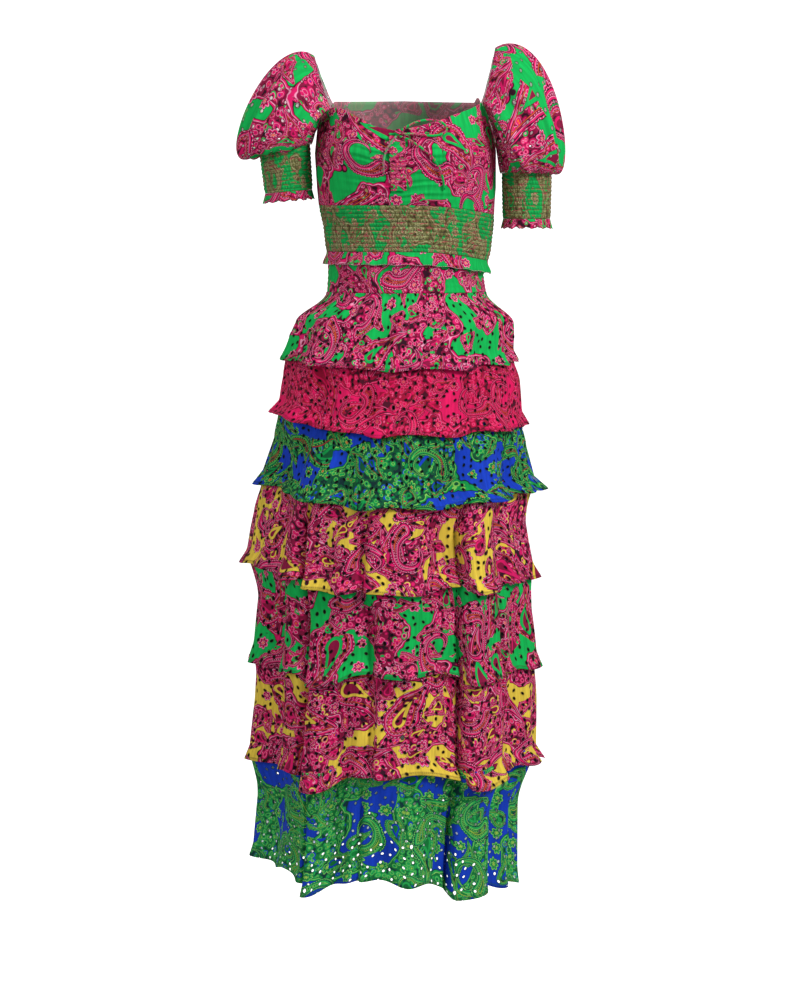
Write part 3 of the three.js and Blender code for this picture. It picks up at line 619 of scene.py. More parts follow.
def cloth_material(name, colours, seed, wrong=0.0, tone=BLACK, glow=0.0, glow_from=None, closed=False,
                   smocked=False, eyelets=True, hole=EYELET, motif=0.066, ground_share=0.475, hem=None):
    """Printed cotton. wrong is how far the print's colour has gone to tone: on the wrong side it fades,
    and on the shaded inside of the tiers it is painted shade; glow is painted light, an emission for the
    light that comes through the thin cloth, and glow_from is where down the cloth it starts and is full;
    closed paints the small eyelets near black as painted shade in the holes, and they are not open; hole
    is the length and width of the small eyelets; motif and ground_share are the size of the motifs and
    the share of plain ground; hem is where on the flat cloth its hem lies."""
    material, s = empty_material(name)
    tree = s.tree
    flat = s.make("ShaderNodeUVMap", uv_map="cloth").outputs["UV"]
    shader = s.make("ShaderNodeBsdfPrincipled")
    printed = s.group(PAISLEY, s.vector("MULTIPLY", flat, (1.5, 1.0, 1.0)) if smocked else flat)
    printed.inputs["Seed"].default_value = seed
    printed.inputs["Motif Size"].default_value = motif
    printed.inputs["Ground Share"].default_value = ground_share
    for key, value in colours.items():
        printed.inputs[key].default_value = value
    colour = printed.outputs["Color"]
    relief = s.group(CRINKLE, flat)
    height = relief.outputs["Height"]
    # Painted shade: where the fine creases are low, the colour is darkened up to 30 percent toward black
    crease_shade_mask = s.step(relief.outputs["Crease Shade"], 0.25, 0.75)
    colour = s.colour(s.times(s.less(1.0, crease_shade_mask), 0.30), colour, BLACK)
    # Fades the print toward tone: a paler wrong side, or near black painted shade on the shaded inside
    if wrong:
        colour = s.colour(wrong, colour, tone)
    if smocked:
        printed.inputs["Fewer Motifs"].default_value = 0.22
        dashes = s.noise(s.vector("MULTIPLY", flat, (90.0, 330.0, 1.0)), 1.0, 1.0).outputs["Fac"]
        colour = s.colour(s.times(s.step(dashes, 0.60, 0.64), 0.6), colour, colours["Accent"])
        shirring = s.group(SMOCKING, flat)
        height = s.add(height, s.times(shirring.outputs["Height"], 2.2))
        # Painted shade: the grooves along the rows of stitches are darkened most of the way to near black
        between = s.times(s.less(1.0, shirring.outputs["Row"]), 0.7)
        colour = s.colour(between, colour, (0.02, 0.035, 0.015, 1.0))
    if hem is not None:
        edge = s.group(HEM, flat)
        edge.inputs["Hem Place"].default_value = hem * MM
        height = s.add(height, s.times(edge.outputs["Height"], 1.2))
        colour = s.colour(s.times(edge.outputs["Line"], 0.5), colour, colours["Outline"])
    if eyelets:
        holes = s.group(EYELETS, flat)
        cut = s.make("ShaderNodeAttribute", attribute_name="cut").outputs["Vector"]
        tree.links.new(cut, holes.inputs["Cut"])
        holes.inputs["Length"].default_value, holes.inputs["Width"].default_value = hole
        height = s.add(height, s.times(holes.outputs["Stitch"], 0.9))
        colour = s.colour(s.times(holes.outputs["Shade"], 0.6), colour, colours["Outline"])
        # Painted shade: on a closed wrong side the small eyelets are painted near black, as the shadow in the
        # holes
        if closed:
            colour = s.colour(holes.outputs["Open"], (0.001, 0.001, 0.001, 1.0), colour)
        tree.links.new(holes.outputs["Large Open" if closed else "Open"], shader.inputs["Alpha"])
    tree.links.new(colour, shader.inputs["Base Color"])
    # Painted light: the wrong side glows by emission, for the light that comes through the thin cloth
    if glow:
        lit = colour
        if glow_from is not None:
            _, y, _ = s.split(flat)
            lit = s.colour(s.step(y, glow_from[0], glow_from[1]), BLACK, colour)
        tree.links.new(lit, shader.inputs["Emission Color"])
        shader.inputs["Emission Strength"].default_value = glow
        material.cycles.emission_sampling = "NONE"
    bump = s.make("ShaderNodeBump", {"Height": height, "Strength": 0.6, "Distance": 0.0010})
    tree.links.new(bump.outputs["Normal"], shader.inputs["Normal"])
    shader.inputs["Roughness"].default_value = 0.8
    shader.inputs["Specular IOR Level"].default_value = 0.2
    s.make("ShaderNodeOutputMaterial", {"Surface": shader.outputs["BSDF"]})
    return material


def sew(name, mesh, print_name, seed, inside=PLAIN_INSIDE, cloth=None, replaced=None, **more):
    """A piece of printed cloth with its right side and its wrong side. inside is one of the five-part
    looks above, cloth the name of its material, and replaced the CAD nodes that it stands for."""
    colours = PRINTS[print_name]
    wrong, tone, glow, glow_from, closed = inside
    cloth = cloth or f"{name}_cloth"
    right_side = cloth_material(cloth, colours, seed, **more)
    wrong_side = cloth_material(f"{cloth}_wrong_side", colours, seed, wrong=wrong, tone=tone, glow=glow,
                                glow_from=glow_from, closed=closed, **more)
    return add_piece(name, mesh, [right_side, wrong_side], replaced or [name])


# The dress form, as in the CAD source

WALL = 2
SEAM_GAP = 0.3
FORM = np.array([
    (-60, 112, 124, 84, 86), (-110, 120, 134, 102, 95), (-150, 124, 140, 110, 98),
    (-200, 121, 140, 103, 95), (-226, 118, 138, 97, 92), (-257, 111, 136, 91, 90),
    (-294, 107, 132, 88, 89), (-330, 107, 124, 88, 90), (-360, 109, 129, 92, 92),
], float)
BAND_TOP = -226
BAND_BOTTOM = -294
FRILL_BOTTOM = -313
WAISTBAND_TOP = -297.5
WAISTBAND_BOTTOM = -354
RIGHT_DROP = 14


def oval_point(size, angle, z, inset=0.0):
    left, right, front, back = size
    half = (right + left) / 2 - inset
    depth = np.where(np.cos(angle) > 0, front, back) - inset
    return point((right - left) / 2 + half * np.sin(angle), -depth * np.cos(angle), z)


def form_point(angle, z, inset=0.0):
    """A point of the dress form, inset by so many millimetres."""
    size = [np.interp(-np.asarray(z, float), -FORM[:, 0], FORM[:, k]) for k in (1, 2, 3, 4)]
    return oval_point(size, angle, z, inset)


def right_drop(angle):
    return -RIGHT_DROP * np.maximum(0, np.sin(angle)) ** 2


# Skirt tiers

WAVES_PER_TIER = 14
TIER_LAP = 20
BLEND_SHARE = 0.45
TIER_CAD_COLUMNS = 56
# How far the top of a tier moves out to touch the thin cloth of the tier that it is sewn to
SEWN_ON = 1.35
# mid, seam and hem sizes as (left, right, front, back); hem heights at the left, front, right, back
TIERS = [
    dict(mid=(152, 168, 122, 120), seam=(166, 168, 134, 132), hem=(176, 177, 146, 142),
         heights=(-452, -464, -457, -460), wave=5.5),
    dict(mid=(171, 177, 143, 141), seam=(177, 177, 152, 150), hem=(194, 188, 164, 161),
         heights=(-531, -558, -553, -556), wave=6),
    dict(mid=(186, 184, 162, 160), seam=(203, 195, 173, 171), hem=(219, 216, 185, 182),
         heights=(-640, -662, -648, -656), wave=7),
    dict(mid=(215, 187, 177, 176), seam=(225, 196, 183, 182), hem=(238, 208, 193, 191),
         heights=(-760, -784, -780, -778), wave=7),
    dict(mid=(214, 197, 182, 181), seam=(222, 203, 186, 186), hem=(231, 212, 195, 194),
         heights=(-908, -904, -914, -908), wave=7.5),
    dict(mid=(218, 202, 184, 185), seam=(224, 202, 188, 190), hem=(232, 216, 198, 199),
         heights=(-1057, -1050, -1057, -1054), wave=8),
    dict(mid=(213, 173, 180, 186), seam=(219, 171, 180, 188), hem=(225, 173, 184, 192),
         heights=(-1208, -1205, -1246, -1226), wave=8.5),
]
# The largest folds: angle, spread, depth, first and last tier
FOLDS = [
    (-66, 13, 30, 2, 6), (-26, 9, 12, 3, 6), (-4, 8, 10, 4, 6), (24, 8, 18, 2, 6), (62, 12, 20, 2, 6),
    (118, 12, 22, 2, 6), (158, 10, 16, 3, 6), (196, 9, 14, 3, 6), (240, 12, 24, 2, 6),
]
# Lobes of the hem between the folds: angle, spread and the drop on each tier
LOBES = [
    (-33, 13, (0, 0, 0, 0, 13, 20, 22)), (10, 7, (0, 0, 0, 0, 0, 0, 12)),
    (36, 13, (0, 0, 0, 0, 7, 18, 16)), (140, 12, (0, 0, 0, 0, 8, 10, 9)),
    (215, 12, (0, 0, 0, 0, 7, 12, 8)),
]


def front_length(n):
    """How far down the front a tier reaches from its seam, in millimetres."""
    top = WAISTBAND_BOTTOM if n == 0 else TIERS[n - 1]["heights"][1] + TIER_LAP
    return top - TIERS[n]["heights"][1]


def seam_share(n):
    return 1 - TIER_LAP / front_length(n)


def gather_angle(share):
    turn = TURN * share
    return turn + 0.06 * np.sin(2 * turn) + 0.05 * (1 - np.cos(4 * turn))


def hem_height(n, angle):
    left, front, right, back = TIERS[n]["heights"]
    c, s = np.cos(angle), np.sin(angle)
    sag = sum(drops[n] * bell(degrees_apart(angle, place), 0, spread) for place, spread, drops in LOBES)
    return np.where(c > 0, front, back) * c * c + np.where(s > 0, right, left) * s * s - sag


def tier_size(n, v):
    tier, seam = TIERS[n], seam_share(n)
    upper = np.clip((v - BLEND_SHARE) / (seam - BLEND_SHARE), 0, 1)
    lower = np.clip((v - seam) / (1 - seam), 0, 1)
    return [m + (s - m) * upper + (h - s) * lower
            for m, s, h in zip(tier["mid"], tier["seam"], tier["hem"])]


def fold_depth(n, angle, v):
    depth = 0.0
    for place, spread, deep, first, last in FOLDS:
        if first <= n <= last:
            grow = ease(v) if n == first else 1.0
            depth = depth + deep * grow * bell(degrees_apart(angle, place), 0, spread)
    return depth


def tier_point(n, share, v, inset=0.0):
    """The outer face of a CAD tier. share is how far round it is, v how far down it."""
    angle = gather_angle(share)
    phase = TURN * WAVES_PER_TIER * share + n * math.pi / 2
    strength = 0.75 + 0.25 * np.sin(3 * TURN * share + 1.7 * n)
    wave = TIERS[n]["wave"] * strength * np.cos(phase) * mix(0.55, 1, v)
    if n == 0:
        start = form_point(angle, WAISTBAND_BOTTOM - SEAM_GAP, inset)
    else:
        start = tier_point(n - 1, share, seam_share(n - 1), inset + WALL + SEAM_GAP)
    own = oval_point(tier_size(n, v), angle, 0, inset + fold_depth(n, angle, v) - wave)
    height = mix(start[..., 2], hem_height(n, angle) - 0.25 * wave, v)
    taken = ease(np.asarray(v) / BLEND_SHARE)[..., None]
    made = mix(start, own, taken)
    made[..., 2] = height
    return made


# Soft creases: tier, angle, where they start and end down the tier, how far they lean
# over their length in degrees, half width in millimetres and depth, a ridge where it is below zero
CREASES = [
    (0, -62, 0.0, 0.8, 4, 7, 2.2), (0, -38, 0.0, 0.9, -3, 6, -2.0), (0, -12, 0.0, 0.7, 2, 7, 2.4),
    (0, 16, 0.0, 0.9, 5, 6, 2.0), (0, 41, 0.0, 0.7, 4, 8, -2.4), (0, 70, 0.0, 0.9, -4, 7, 2.2),
    (0, 112, 0.0, 0.8, 3, 7, 2.0), (0, 150, 0.0, 0.9, -3, 8, 2.4), (0, 205, 0.0, 0.8, 4, 7, -2.0),
    (0, 250, 0.0, 0.9, 3, 7, 2.2),
    (1, -70, 0.1, 1.0, 5, 6, 2.2), (1, -44, 0.0, 0.8, 3, 7, 2.6), (1, -20, 0.1, 1.0, -2, 6, -2.2),
    (1, 8, 0.0, 0.9, 2, 6, 2.4), (1, 33, 0.0, 1.0, 4, 8, 2.2), (1, 58, 0.1, 1.0, -3, 7, -2.4),
    (1, 101, 0.0, 0.9, 3, 7, 2.2), (1, 165, 0.1, 1.0, -3, 7, 2.2), (1, 228, 0.0, 0.9, 3, 7, 2.4),
    (2, -48, 0.0, 1.0, -4, 8, 2.8), (2, -15, 0.0, 0.9, 3, 7, 2.4), (2, 4, 0.1, 1.0, 3, 7, -2.4),
    (2, 40, 0.0, 1.0, 4, 8, 2.6), (2, 74, 0.0, 0.9, -3, 7, 2.2), (2, 136, 0.0, 1.0, 4, 8, 2.4),
    (2, 180, 0.0, 0.9, -3, 8, 2.6), (2, 222, 0.1, 1.0, 3, 7, -2.4),
    (3, -52, 0.0, 1.0, 5, 9, 3.0), (3, -38, 0.1, 0.9, 3, 7, -2.6), (3, -12, 0.0, 1.0, -3, 8, 2.8),
    (3, 12, 0.0, 0.9, 3, 7, 2.4), (3, 44, 0.1, 1.0, -4, 8, 2.8), (3, 78, 0.0, 1.0, 3, 8, 2.4),
    (3, 140, 0.0, 1.0, -3, 9, 2.8), (3, 176, 0.1, 1.0, 3, 8, -2.4), (3, 216, 0.0, 0.9, 3, 8, 2.6),
    (4, -46, 0.0, 0.9, 4, 8, 2.8), (4, -14, 0.1, 1.0, 3, 8, 2.6), (4, 8, 0.0, 0.8, -2, 7, -2.4),
    (4, 42, 0.0, 1.0, -4, 9, 3.0), (4, 78, 0.1, 1.0, 3, 8, 2.6), (4, 138, 0.0, 0.9, 4, 9, 2.8),
    (4, 178, 0.0, 1.0, -3, 8, 2.6), (4, 218, 0.1, 1.0, 3, 8, -2.6),
    (5, -48, 0.1, 1.0, -4, 9, 3.0), (5, -38, 0.0, 0.8, 3, 7, 2.6), (5, -14, 0.0, 1.0, 3, 8, 2.6),
    (5, 10, 0.1, 1.0, 2, 8, -2.6), (5, 38, 0.0, 0.9, 3, 9, 2.8), (5, 80, 0.0, 1.0, -3, 8, 2.6),
    (5, 140, 0.0, 1.0, 4, 9, 2.8), (5, 178, 0.1, 1.0, 3, 8, 2.4), (5, 220, 0.0, 0.9, -3, 8, 2.6),
    (6, -46, 0.0, 1.0, 3, 9, 3.0), (6, -16, 0.1, 1.0, -3, 8, 2.8), (6, 6, 0.0, 0.9, 2, 7, 2.6),
    (6, 40, 0.0, 1.0, 4, 9, -2.8), (6, 80, 0.1, 1.0, 3, 8, 2.6), (6, 140, 0.0, 1.0, -3, 9, 2.8),
    (6, 176, 0.0, 0.9, 3, 8, 2.6), (6, 220, 0.1, 1.0, 3, 8, 2.6),
]
# Where a full fold of the lower skirt laps over the cloth beside it: first tier, angle, the side that
# the full fold is on (1 right), how far it stands out, how far the cloth beside it falls back, how
# much lower its hem hangs than the hem beside it, how deep the groove between them is, and how far the
# edge of the full fold leans over that groove
LAPS = [
    (3, -37, 1, 9, 9, 16, 18, 6), (3, 33, 1, 10, 11, 12, 14, 13), (4, 51, -1, 5, 5, 5, 9, 3),
    (3, -8, 1, 4, 4, 3, 8, 3), (3, 128, 1, 8, 8, 12, 14, 10), (4, 166, -1, 5, 5, 5, 9, 3),
    (3, 205, 1, 8, 8, 12, 14, 10), (4, 238, -1, 5, 5, 5, 9, 3),
]


def lap_shape(n, angle, v):
    """How far the laps stand out, lower the hem and lean sideways, in millimetres."""
    rise, drop, lean = 0.0, 0.0, 0.0
    for first, place, side, out, back, low, deep, over_groove in LAPS:
        if n < first:
            continue
        away = degrees_apart(angle, place + 1.5 * math.sin(2.1 * n + place)) * side
        over = 0.5 + 0.5 * np.tanh(away / 1.3)
        rise = rise + out * over * np.exp(-np.maximum(away, 0) / 13)
        rise = rise - back * (1 - over) * np.exp(np.minimum(away, 0) / 7) - deep * bell(away, -1.8, 2.0)
        drop = drop + 0.5 * low * (over * np.exp(-np.maximum(away, 0) / 14)
                                   - (1 - over) * np.exp(np.minimum(away, 0) / 7))
        lean = lean - side * over_groove * bell(away, 1.2, 2.1)
    return rise, drop, lean


# Fine gathers at the top of a tier: how many round it, their height and how far down they reach
GATHERS = [(71, 0.9, 0.42), (97, 0.8, 0.26), (118, 0.5, 0.18)]
# Soft ripples that grow down a tier: how many round it and their height
RIPPLES = [(9, 2.2), (23, 1.2), (31, 0.7)]


def tier_detail(n, share, v):
    """How far the finer gathers and creases of a tier stand out, in millimetres."""
    turn = TURN * share
    angle = gather_angle(share)
    sway = 0.5 * np.sin(2 * turn + 1.3 * n) + 0.35 * np.sin(5 * turn + 0.7 * n)
    rise = 0.0
    for count, high, reach in GATHERS:
        uneven = 0.7 + 0.3 * np.sin(count / 9 * turn + n)
        crest = np.cos(count * (turn + 0.03 * sway) + 1.9 * n + count)
        rise = rise + high * uneven * crest * np.exp(-v / reach)
    for count, high in RIPPLES:
        rise = rise + high * np.cos(count * turn + 2.4 * n + 1.5 * sway + 2 * v) * ease(v * 1.4)
    across = np.mean([np.mean(TIERS[n]["mid"]), 160])
    for tier, place, start, end, lean, width, depth in CREASES:
        if tier != n:
            continue
        centre = place + lean * v
        shape = bell(np.radians(degrees_apart(angle, centre)) * across, 0, width)
        rise = rise - depth * shape * ease((v - start + 0.12) / 0.2) * ease((end + 0.12 - v) / 0.25)
    return rise + lap_shape(n, angle, v)[0] * ease(v / BLEND_SHARE)


def tier_surface(n, share, v):
    """The surface of a tier as it hangs, with its gathers, creases and laps."""
    angle = gather_angle(share)
    made = tier_point(n, share, v)
    rise = tier_detail(n, share, v)
    taken = ease(np.asarray(v) / BLEND_SHARE)
    if n:
        rise = rise + (1 - taken) * (tier_detail(n - 1, share, seam_share(n - 1)) + SEWN_ON)
    made = made + outwards(angle) * rise[..., None]
    lean = lap_shape(n, angle, v)[2] * taken
    if n:
        lean = lean + (1 - taken) * lap_shape(n - 1, angle, seam_share(n - 1))[2]
    made = made + point(np.cos(angle), np.sin(angle), 0.0) * lean[..., None]
    flutter = 1.6 * np.sin(11 * TURN * share + n) + 0.6 * np.sin(23 * TURN * share + 2 * n)
    made[..., 2] += flutter * ease((v - 0.6) / 0.4) - lap_shape(n, angle, v)[1] * ease(v)
    return made


# The flat cloth of a tier starts at the left side seam, a quarter turn before the front
SEAM_TURN = 0.25
TIER_COLUMNS = 480
TIER_ROWS = 30
EYELETS_PER_HALF = 5
TIER_PRINTS = ["green", "pink", "blue", "yellow", "green", "yellow", "sea"]
TIER_GROUND_SHARES = [0.48, 0.44, 0.515, 0.48, 0.48, 0.485, 0.47]
LAST_TIER = len(TIERS) - 1


# Rows are closer together at the top, where the gathers are finest
TIER_ROW_SHARES = np.linspace(0, 1, TIER_ROWS + 1) ** 1.25
TIER_SHARES = np.arange(TIER_COLUMNS + 1) / TIER_COLUMNS


def cloth_run(n):
    """How far along the flat cloth each column of a tier lies, as a deep fold takes up more cloth."""
    points = tier_surface(n, TIER_SHARES[None, :] - SEAM_TURN, np.array([[0.5], [0.75], [1.0]]))
    steps = np.linalg.norm(np.diff(points, axis=1), axis=-1).mean(axis=0)
    around = TURN * 0.5 * (np.mean(TIERS[n]["seam"][:2]) + np.mean(TIERS[n]["seam"][2:])) * 1.04
    return np.concatenate([[0.0], np.cumsum(steps)]) * around / steps.sum()


CLOTH_RUNS = [cloth_run(n) for n in range(len(TIERS))]


def tier_flat(n, share, v):
    """Where a point of a tier lies on its flat cloth, in millimetres."""
    run = np.interp(share, TIER_SHARES, CLOTH_RUNS[n])
    return on_cloth(run, -v * tier_length(n))


def tier_length(n):
    """The length of a tier's flat cloth down the front, a little more than its length as it hangs."""
    return front_length(n) * 1.03


def tier_cuts(n):
    """The places on the flat cloth of the eyelets that are cut through the CAD tier."""
    rows = [0, BLEND_SHARE, seam_share(n), 1]
    columns = TIER_CAD_COLUMNS // 2
    cuts = []
    for first in (-SEAM_TURN, SEAM_TURN):
        for k in range(EYELETS_PER_HALF):
            i = math.floor((k + 0.5) * columns / EYELETS_PER_HALF) + ((n + k) % 3) - 1
            j = 1 if k % 2 == 0 else 2
            share = first + (i + 0.5) / TIER_CAD_COLUMNS
            v = (rows[j] + rows[j + 1]) / 2
            cuts.append(tier_flat(n, np.array(share + SEAM_TURN), np.array(v)))
    return np.array(cuts)


def make_tier(n):
    name = f"tier_{n + 1}"
    share = TIER_SHARES[None, :] - SEAM_TURN
    v = TIER_ROW_SHARES[:, None]
    points = tier_surface(n, share[:, :-1], v)
    flat = tier_flat(n, share + SEAM_TURN, v)
    mesh = cloth_mesh(name, points, flat, True, cuts=tier_cuts(n))
    last = n == LAST_TIER
    return sew(name, mesh, TIER_PRINTS[n], 1.7 * n + 0.4, hem=-tier_length(n),
               ground_share=TIER_GROUND_SHARES[n], hole=LAST_TIER_EYELET if last else EYELET,
               inside=BACKLIT_INSIDE if last else SHADED_INSIDE, replaced=[f"{name}_front", f"{name}_back"])


tiers = [make_tier(n) for n in range(len(TIERS))]


# Waistband, smocked band and its free hem

# Mean radii that turn an angle round a piece into a length of its flat cloth, in millimetres
WAIST_RADIUS = 112
BAND_RADIUS = 118
TOP_HEM_RADIUS = 122
SLEEVE_RADIUS = 66
CUFF_RADIUS = 38


def rows_between(first, last, steps):
    return np.linspace(first, last, steps + 1)[:, None]


def turn_line(columns, first=-math.pi, last=math.pi):
    """Angles from the front, and one more at the end for the flat cloth."""
    return np.linspace(first, last, columns + 1)[None, :]


def band_flat(angle, across, radius, stretch=1.0):
    return on_cloth(angle * radius * stretch, -across)


def make_waistband():
    """Drawn in by fine rows of elastic thread, with short upright gathers between them."""
    angle = turn_line(420)
    t = rows_between(0, 1, 34)
    z = mix(WAISTBAND_TOP + right_drop(angle), WAISTBAND_BOTTOM, t)
    rows = np.abs(np.sin(np.pi * t * 7))
    puff = np.cos(88 * angle + 1.2 * np.sin(3 * angle) + 0.8 * np.sin(9 * t))
    rise = 0.5 * rows - 0.3 + 0.45 * puff * rows
    rise = rise * inside_edges(t, 6, 6)
    points = form_point(angle, z, 0.0 - rise)[:, :-1]
    flat = band_flat(angle, t * 58, WAIST_RADIUS, 1.1)
    mesh = cloth_mesh("skirt_waistband", points, flat, True)
    return sew("skirt_waistband", mesh, "green", 3.3, cloth="waistband_cloth", eyelets=False)


SMOCKED_CLOTH = dict(smocked=True, eyelets=False, motif=0.05, ground_share=0.55)


def smocked_rise(place_x, place_y):
    """Puffs of cloth between rows of elastic stitches, shifted by half a puff in each next row."""
    rows = place_y / SMOCK_ROW
    puffs = place_x / SMOCK_PUFF + 0.5 * (np.floor(rows) % 2) + 0.3 * np.sin(place_x / 31 + place_y / 17)
    return np.abs(np.sin(np.pi * rows)) ** 0.7 * (0.45 + 0.55 * np.abs(np.sin(np.pi * puffs)) ** 0.8)


def make_midriff():
    angle = turn_line(640)
    height = BAND_TOP - BAND_BOTTOM
    t = rows_between(0, 1, 46)
    z = mix(BAND_TOP, BAND_BOTTOM, t) + right_drop(angle)
    flat = band_flat(angle, t * height, BAND_RADIUS)
    rise = 1.3 * smocked_rise(flat[..., 0], -flat[..., 1]) * inside_edges(t, 9, 9)
    points = form_point(angle, z, -rise - WALL - SEAM_GAP)[:, :-1]
    mesh = cloth_mesh("smocked_midriff", points, flat, True)
    return sew("smocked_midriff", mesh, "smocked", 5.1, cloth="smocked_cloth", **SMOCKED_CLOTH)


def top_hem_surface(angle, t):
    z = mix(BAND_BOTTOM - SEAM_GAP, FRILL_BOTTOM, t) + right_drop(angle)
    wave = 1.7 * np.sin(24 * angle + 0.9 * np.sin(3 * angle)) + 0.7 * np.sin(41 * angle + 1.1)
    out = WALL + SEAM_GAP + ease(t) * (3.5 + wave + 4 * np.maximum(0, np.sin(angle)) ** 4)
    points = form_point(angle, z, -out)
    points[..., 2] += 0.7 * np.sin(24 * angle + 1.5) * ease(t)
    return points


TOP_HEM_COLUMNS = 432


def make_top_hem():
    angle = turn_line(TOP_HEM_COLUMNS)
    t = rows_between(0, 1, 12)
    points = top_hem_surface(angle, t)[:, :-1]
    mesh = cloth_mesh("top_hem_frill", points, band_flat(angle, t * 20, TOP_HEM_RADIUS), True)
    return sew("top_hem_frill", mesh, "green", 6.4, cloth="top_hem_cloth", eyelets=False)


# Bodice

FRONT_EDGE = np.array([
    (-90, -116), (-80, -108), (-68, -96), (-58, -84), (-46, -86), (-29, -101), (-20, -112), (-5, -119),
    (7, -113), (22, -104), (34, -95), (55, -83), (66, -76), (74, -102), (82, -130), (90, -154),
], float)
BACK_EDGE = np.array([
    (90, -154), (98, -130), (106, -102), (114, -74), (180, -70), (238, -72), (250, -94), (260, -107),
    (270, -116),
], float)
BUST_ANGLE, BUST_Z, BUST_RISE = 34, -146, 9


def bodice_rise(angle, z):
    """The bust, and the shallow dip between its two sides."""
    degrees = np.degrees(angle)
    high = (z - BUST_Z) / 34
    rise = sum(BUST_RISE * np.exp(-((degrees - side * BUST_ANGLE) / 24) ** 2 - high ** 2) for side in (-1, 1))
    return rise - 5 * np.exp(-(degrees / 9) ** 2 - high ** 2)


def bodice_point(angle, z, inset=0.0):
    return form_point(angle, z, inset - WALL - SEAM_GAP - bodice_rise(angle, z))


def bodice_gathers(angle, t):
    """Gathers that run out from the channel and fan apart on their way to the sides."""
    degrees = np.degrees(angle)
    away = np.abs(degrees + 1)
    fan = t * (1 + 0.10 * away / 40) - 0.05 * away / 40
    lean = 0.5 * np.sin(degrees / 13) + 0.3 * np.sin(degrees / 5.5)
    fade = np.exp(-((away - 6) / 27) ** 2)
    fine = np.cos(TURN * (10.5 * fan + 0.16 * lean)) + 0.5 * np.cos(TURN * (17 * fan + 0.3 * lean + 0.2))
    return 1.15 * fade * fine


def make_bodice(name, first, last, edge_table, columns, gathered, seed):
    angle = turn_line(columns, first, last)
    t = rows_between(0, 1, 64 if gathered else 30)
    edge = np.interp(np.degrees(angle), edge_table[:, 0], edge_table[:, 1])
    from_front = np.abs(degrees_apart(angle, 4))
    edge = edge + 7 * ease((from_front - 62) / 6) * ease((118 - from_front) / 6)
    base = BAND_TOP - SEAM_GAP + right_drop(angle)
    z = mix(edge, base, t)
    rise = 0.5 * ease(1 - t * (base - edge) / -5.0)
    if gathered:
        rise = rise + bodice_gathers(angle, t) * inside_edges(t, 14, 12)
        rise = rise + 0.5 * np.cos(60 * angle) * bell(t, 1.0, 0.16)
    points = bodice_point(angle, z, -rise)
    flat = on_cloth(angle * BAND_RADIUS, z)
    mesh = cloth_mesh(name, points, flat, False)
    return sew(name, mesh, "green", seed, eyelets=False)


CHANNEL_MIDDLE = -3
CHANNEL_HALF = 11
CHANNEL_TOP = -122
CHANNEL_BOTTOM = -205
CHANNEL_FOLDS = 13
# The channel lies on a round form: the x of its axis and its half width, in millimetres
CHANNEL_AXIS = 8
CHANNEL_HALF_FORM = 132


def make_channel():
    """Drawn up on its cord into short cross folds, with a seam down the middle."""
    s = np.linspace(-1, 1, 29)[None, :]
    t = rows_between(0, 1, 110)
    x = CHANNEL_MIDDLE + CHANNEL_HALF * s + 0 * t
    z = mix(CHANNEL_TOP, CHANNEL_BOTTOM, t)
    angle = np.arcsin((x - CHANNEL_AXIS) / CHANNEL_HALF_FORM)
    fold = np.sin(TURN * (CHANNEL_FOLDS * t + 0.12 * np.sin(7 * t + 2) + 0.10 * np.abs(s) * np.sin(11 * t)))
    tube = np.sqrt(np.maximum(0, 1 - (2 * np.abs(s) - 1) ** 2))
    lift = 1.6 + tube * (0.5 + 0.75 * fold)
    points = bodice_point(angle, z, -2.2 * SEAM_GAP - 1.8 - lift)
    points[..., 0] += 0.7 * np.sin(TURN * CHANNEL_FOLDS * t + 1) * s
    flat = on_cloth(CHANNEL_HALF * s, -t * 150)
    mesh = cloth_mesh("front_channel", points, flat, False, thickness=0.9)
    return sew("front_channel", mesh, "green", 8.2, cloth="channel_cloth", eyelets=False, motif=0.03)


# Sleeves and cuffs

SLEEVES = [
    dict(name="left", side=-1, shoulder=(127, -6), corner=(58, -86), underarm=-112,
         cuff=(171, -4, -140, 37, 41, 10), cuff_end=(165, -6, -206, 35, 39, 5), puff=(70, 44, 78, 62, 46)),
    dict(name="right", side=1, shoulder=(141, 6), corner=(66, -78), underarm=-150,
         cuff=(188, -2, -177, 36.5, 41, 0), cuff_end=(188, -4, -246, 35, 39, 0), puff=(87, 46, 41, 27, 46)),
]
BACK_CORNER_Z = -76
CUFF_FRILL_LENGTH = 13


def sleeve_mouth(sleeve, turn):
    """The edge of a sleeve on the body. turn 0 is the shoulder, a quarter turn the front."""
    side = sleeve["side"]
    share = np.abs(turn) / math.pi
    front = turn >= 0
    corner_angle = np.where(front, sleeve["corner"][0], 180 - sleeve["corner"][0])
    corner_z = np.where(front, sleeve["corner"][1], BACK_CORNER_Z)

    def on_body(angle, z):
        return form_point(side * np.radians(angle), z, -2 * WALL - SEAM_GAP)

    t = np.clip((share - 0.5) / 0.5, 0, 1)
    lower = on_body(mix(corner_angle, 90, t), mix(corner_z, sleeve["underarm"], t))
    corner = on_body(corner_angle, corner_z)
    t = np.clip(share / 0.5, 0, 1)
    top_x, top_z = side * sleeve["shoulder"][0], sleeve["shoulder"][1]
    upper = point(mix(top_x, corner[..., 0], t * t),
                  mix(0, corner[..., 1], np.sin(t * math.pi / 2)),
                  mix(top_z, corner[..., 2], 1 - np.cos(t * math.pi / 2)))
    upper[..., 1] -= np.where(front, 1, -1) * np.sin(t * math.pi) * 12 * 0.3
    return np.where((share > 0.5)[..., None], lower, upper)


def cuff_ring(ring, side, turn, grow=0.0):
    """Points round a cuff. ring is its middle, half width, half depth and tilt in degrees."""
    x0, y0, z0, width, depth, tilt = ring
    slope = np.tan(np.radians(tilt))
    across = (width + grow) * np.cos(turn)
    return point(side * (x0 + across), y0 - (depth + grow) * np.sin(turn), z0 - slope * across)


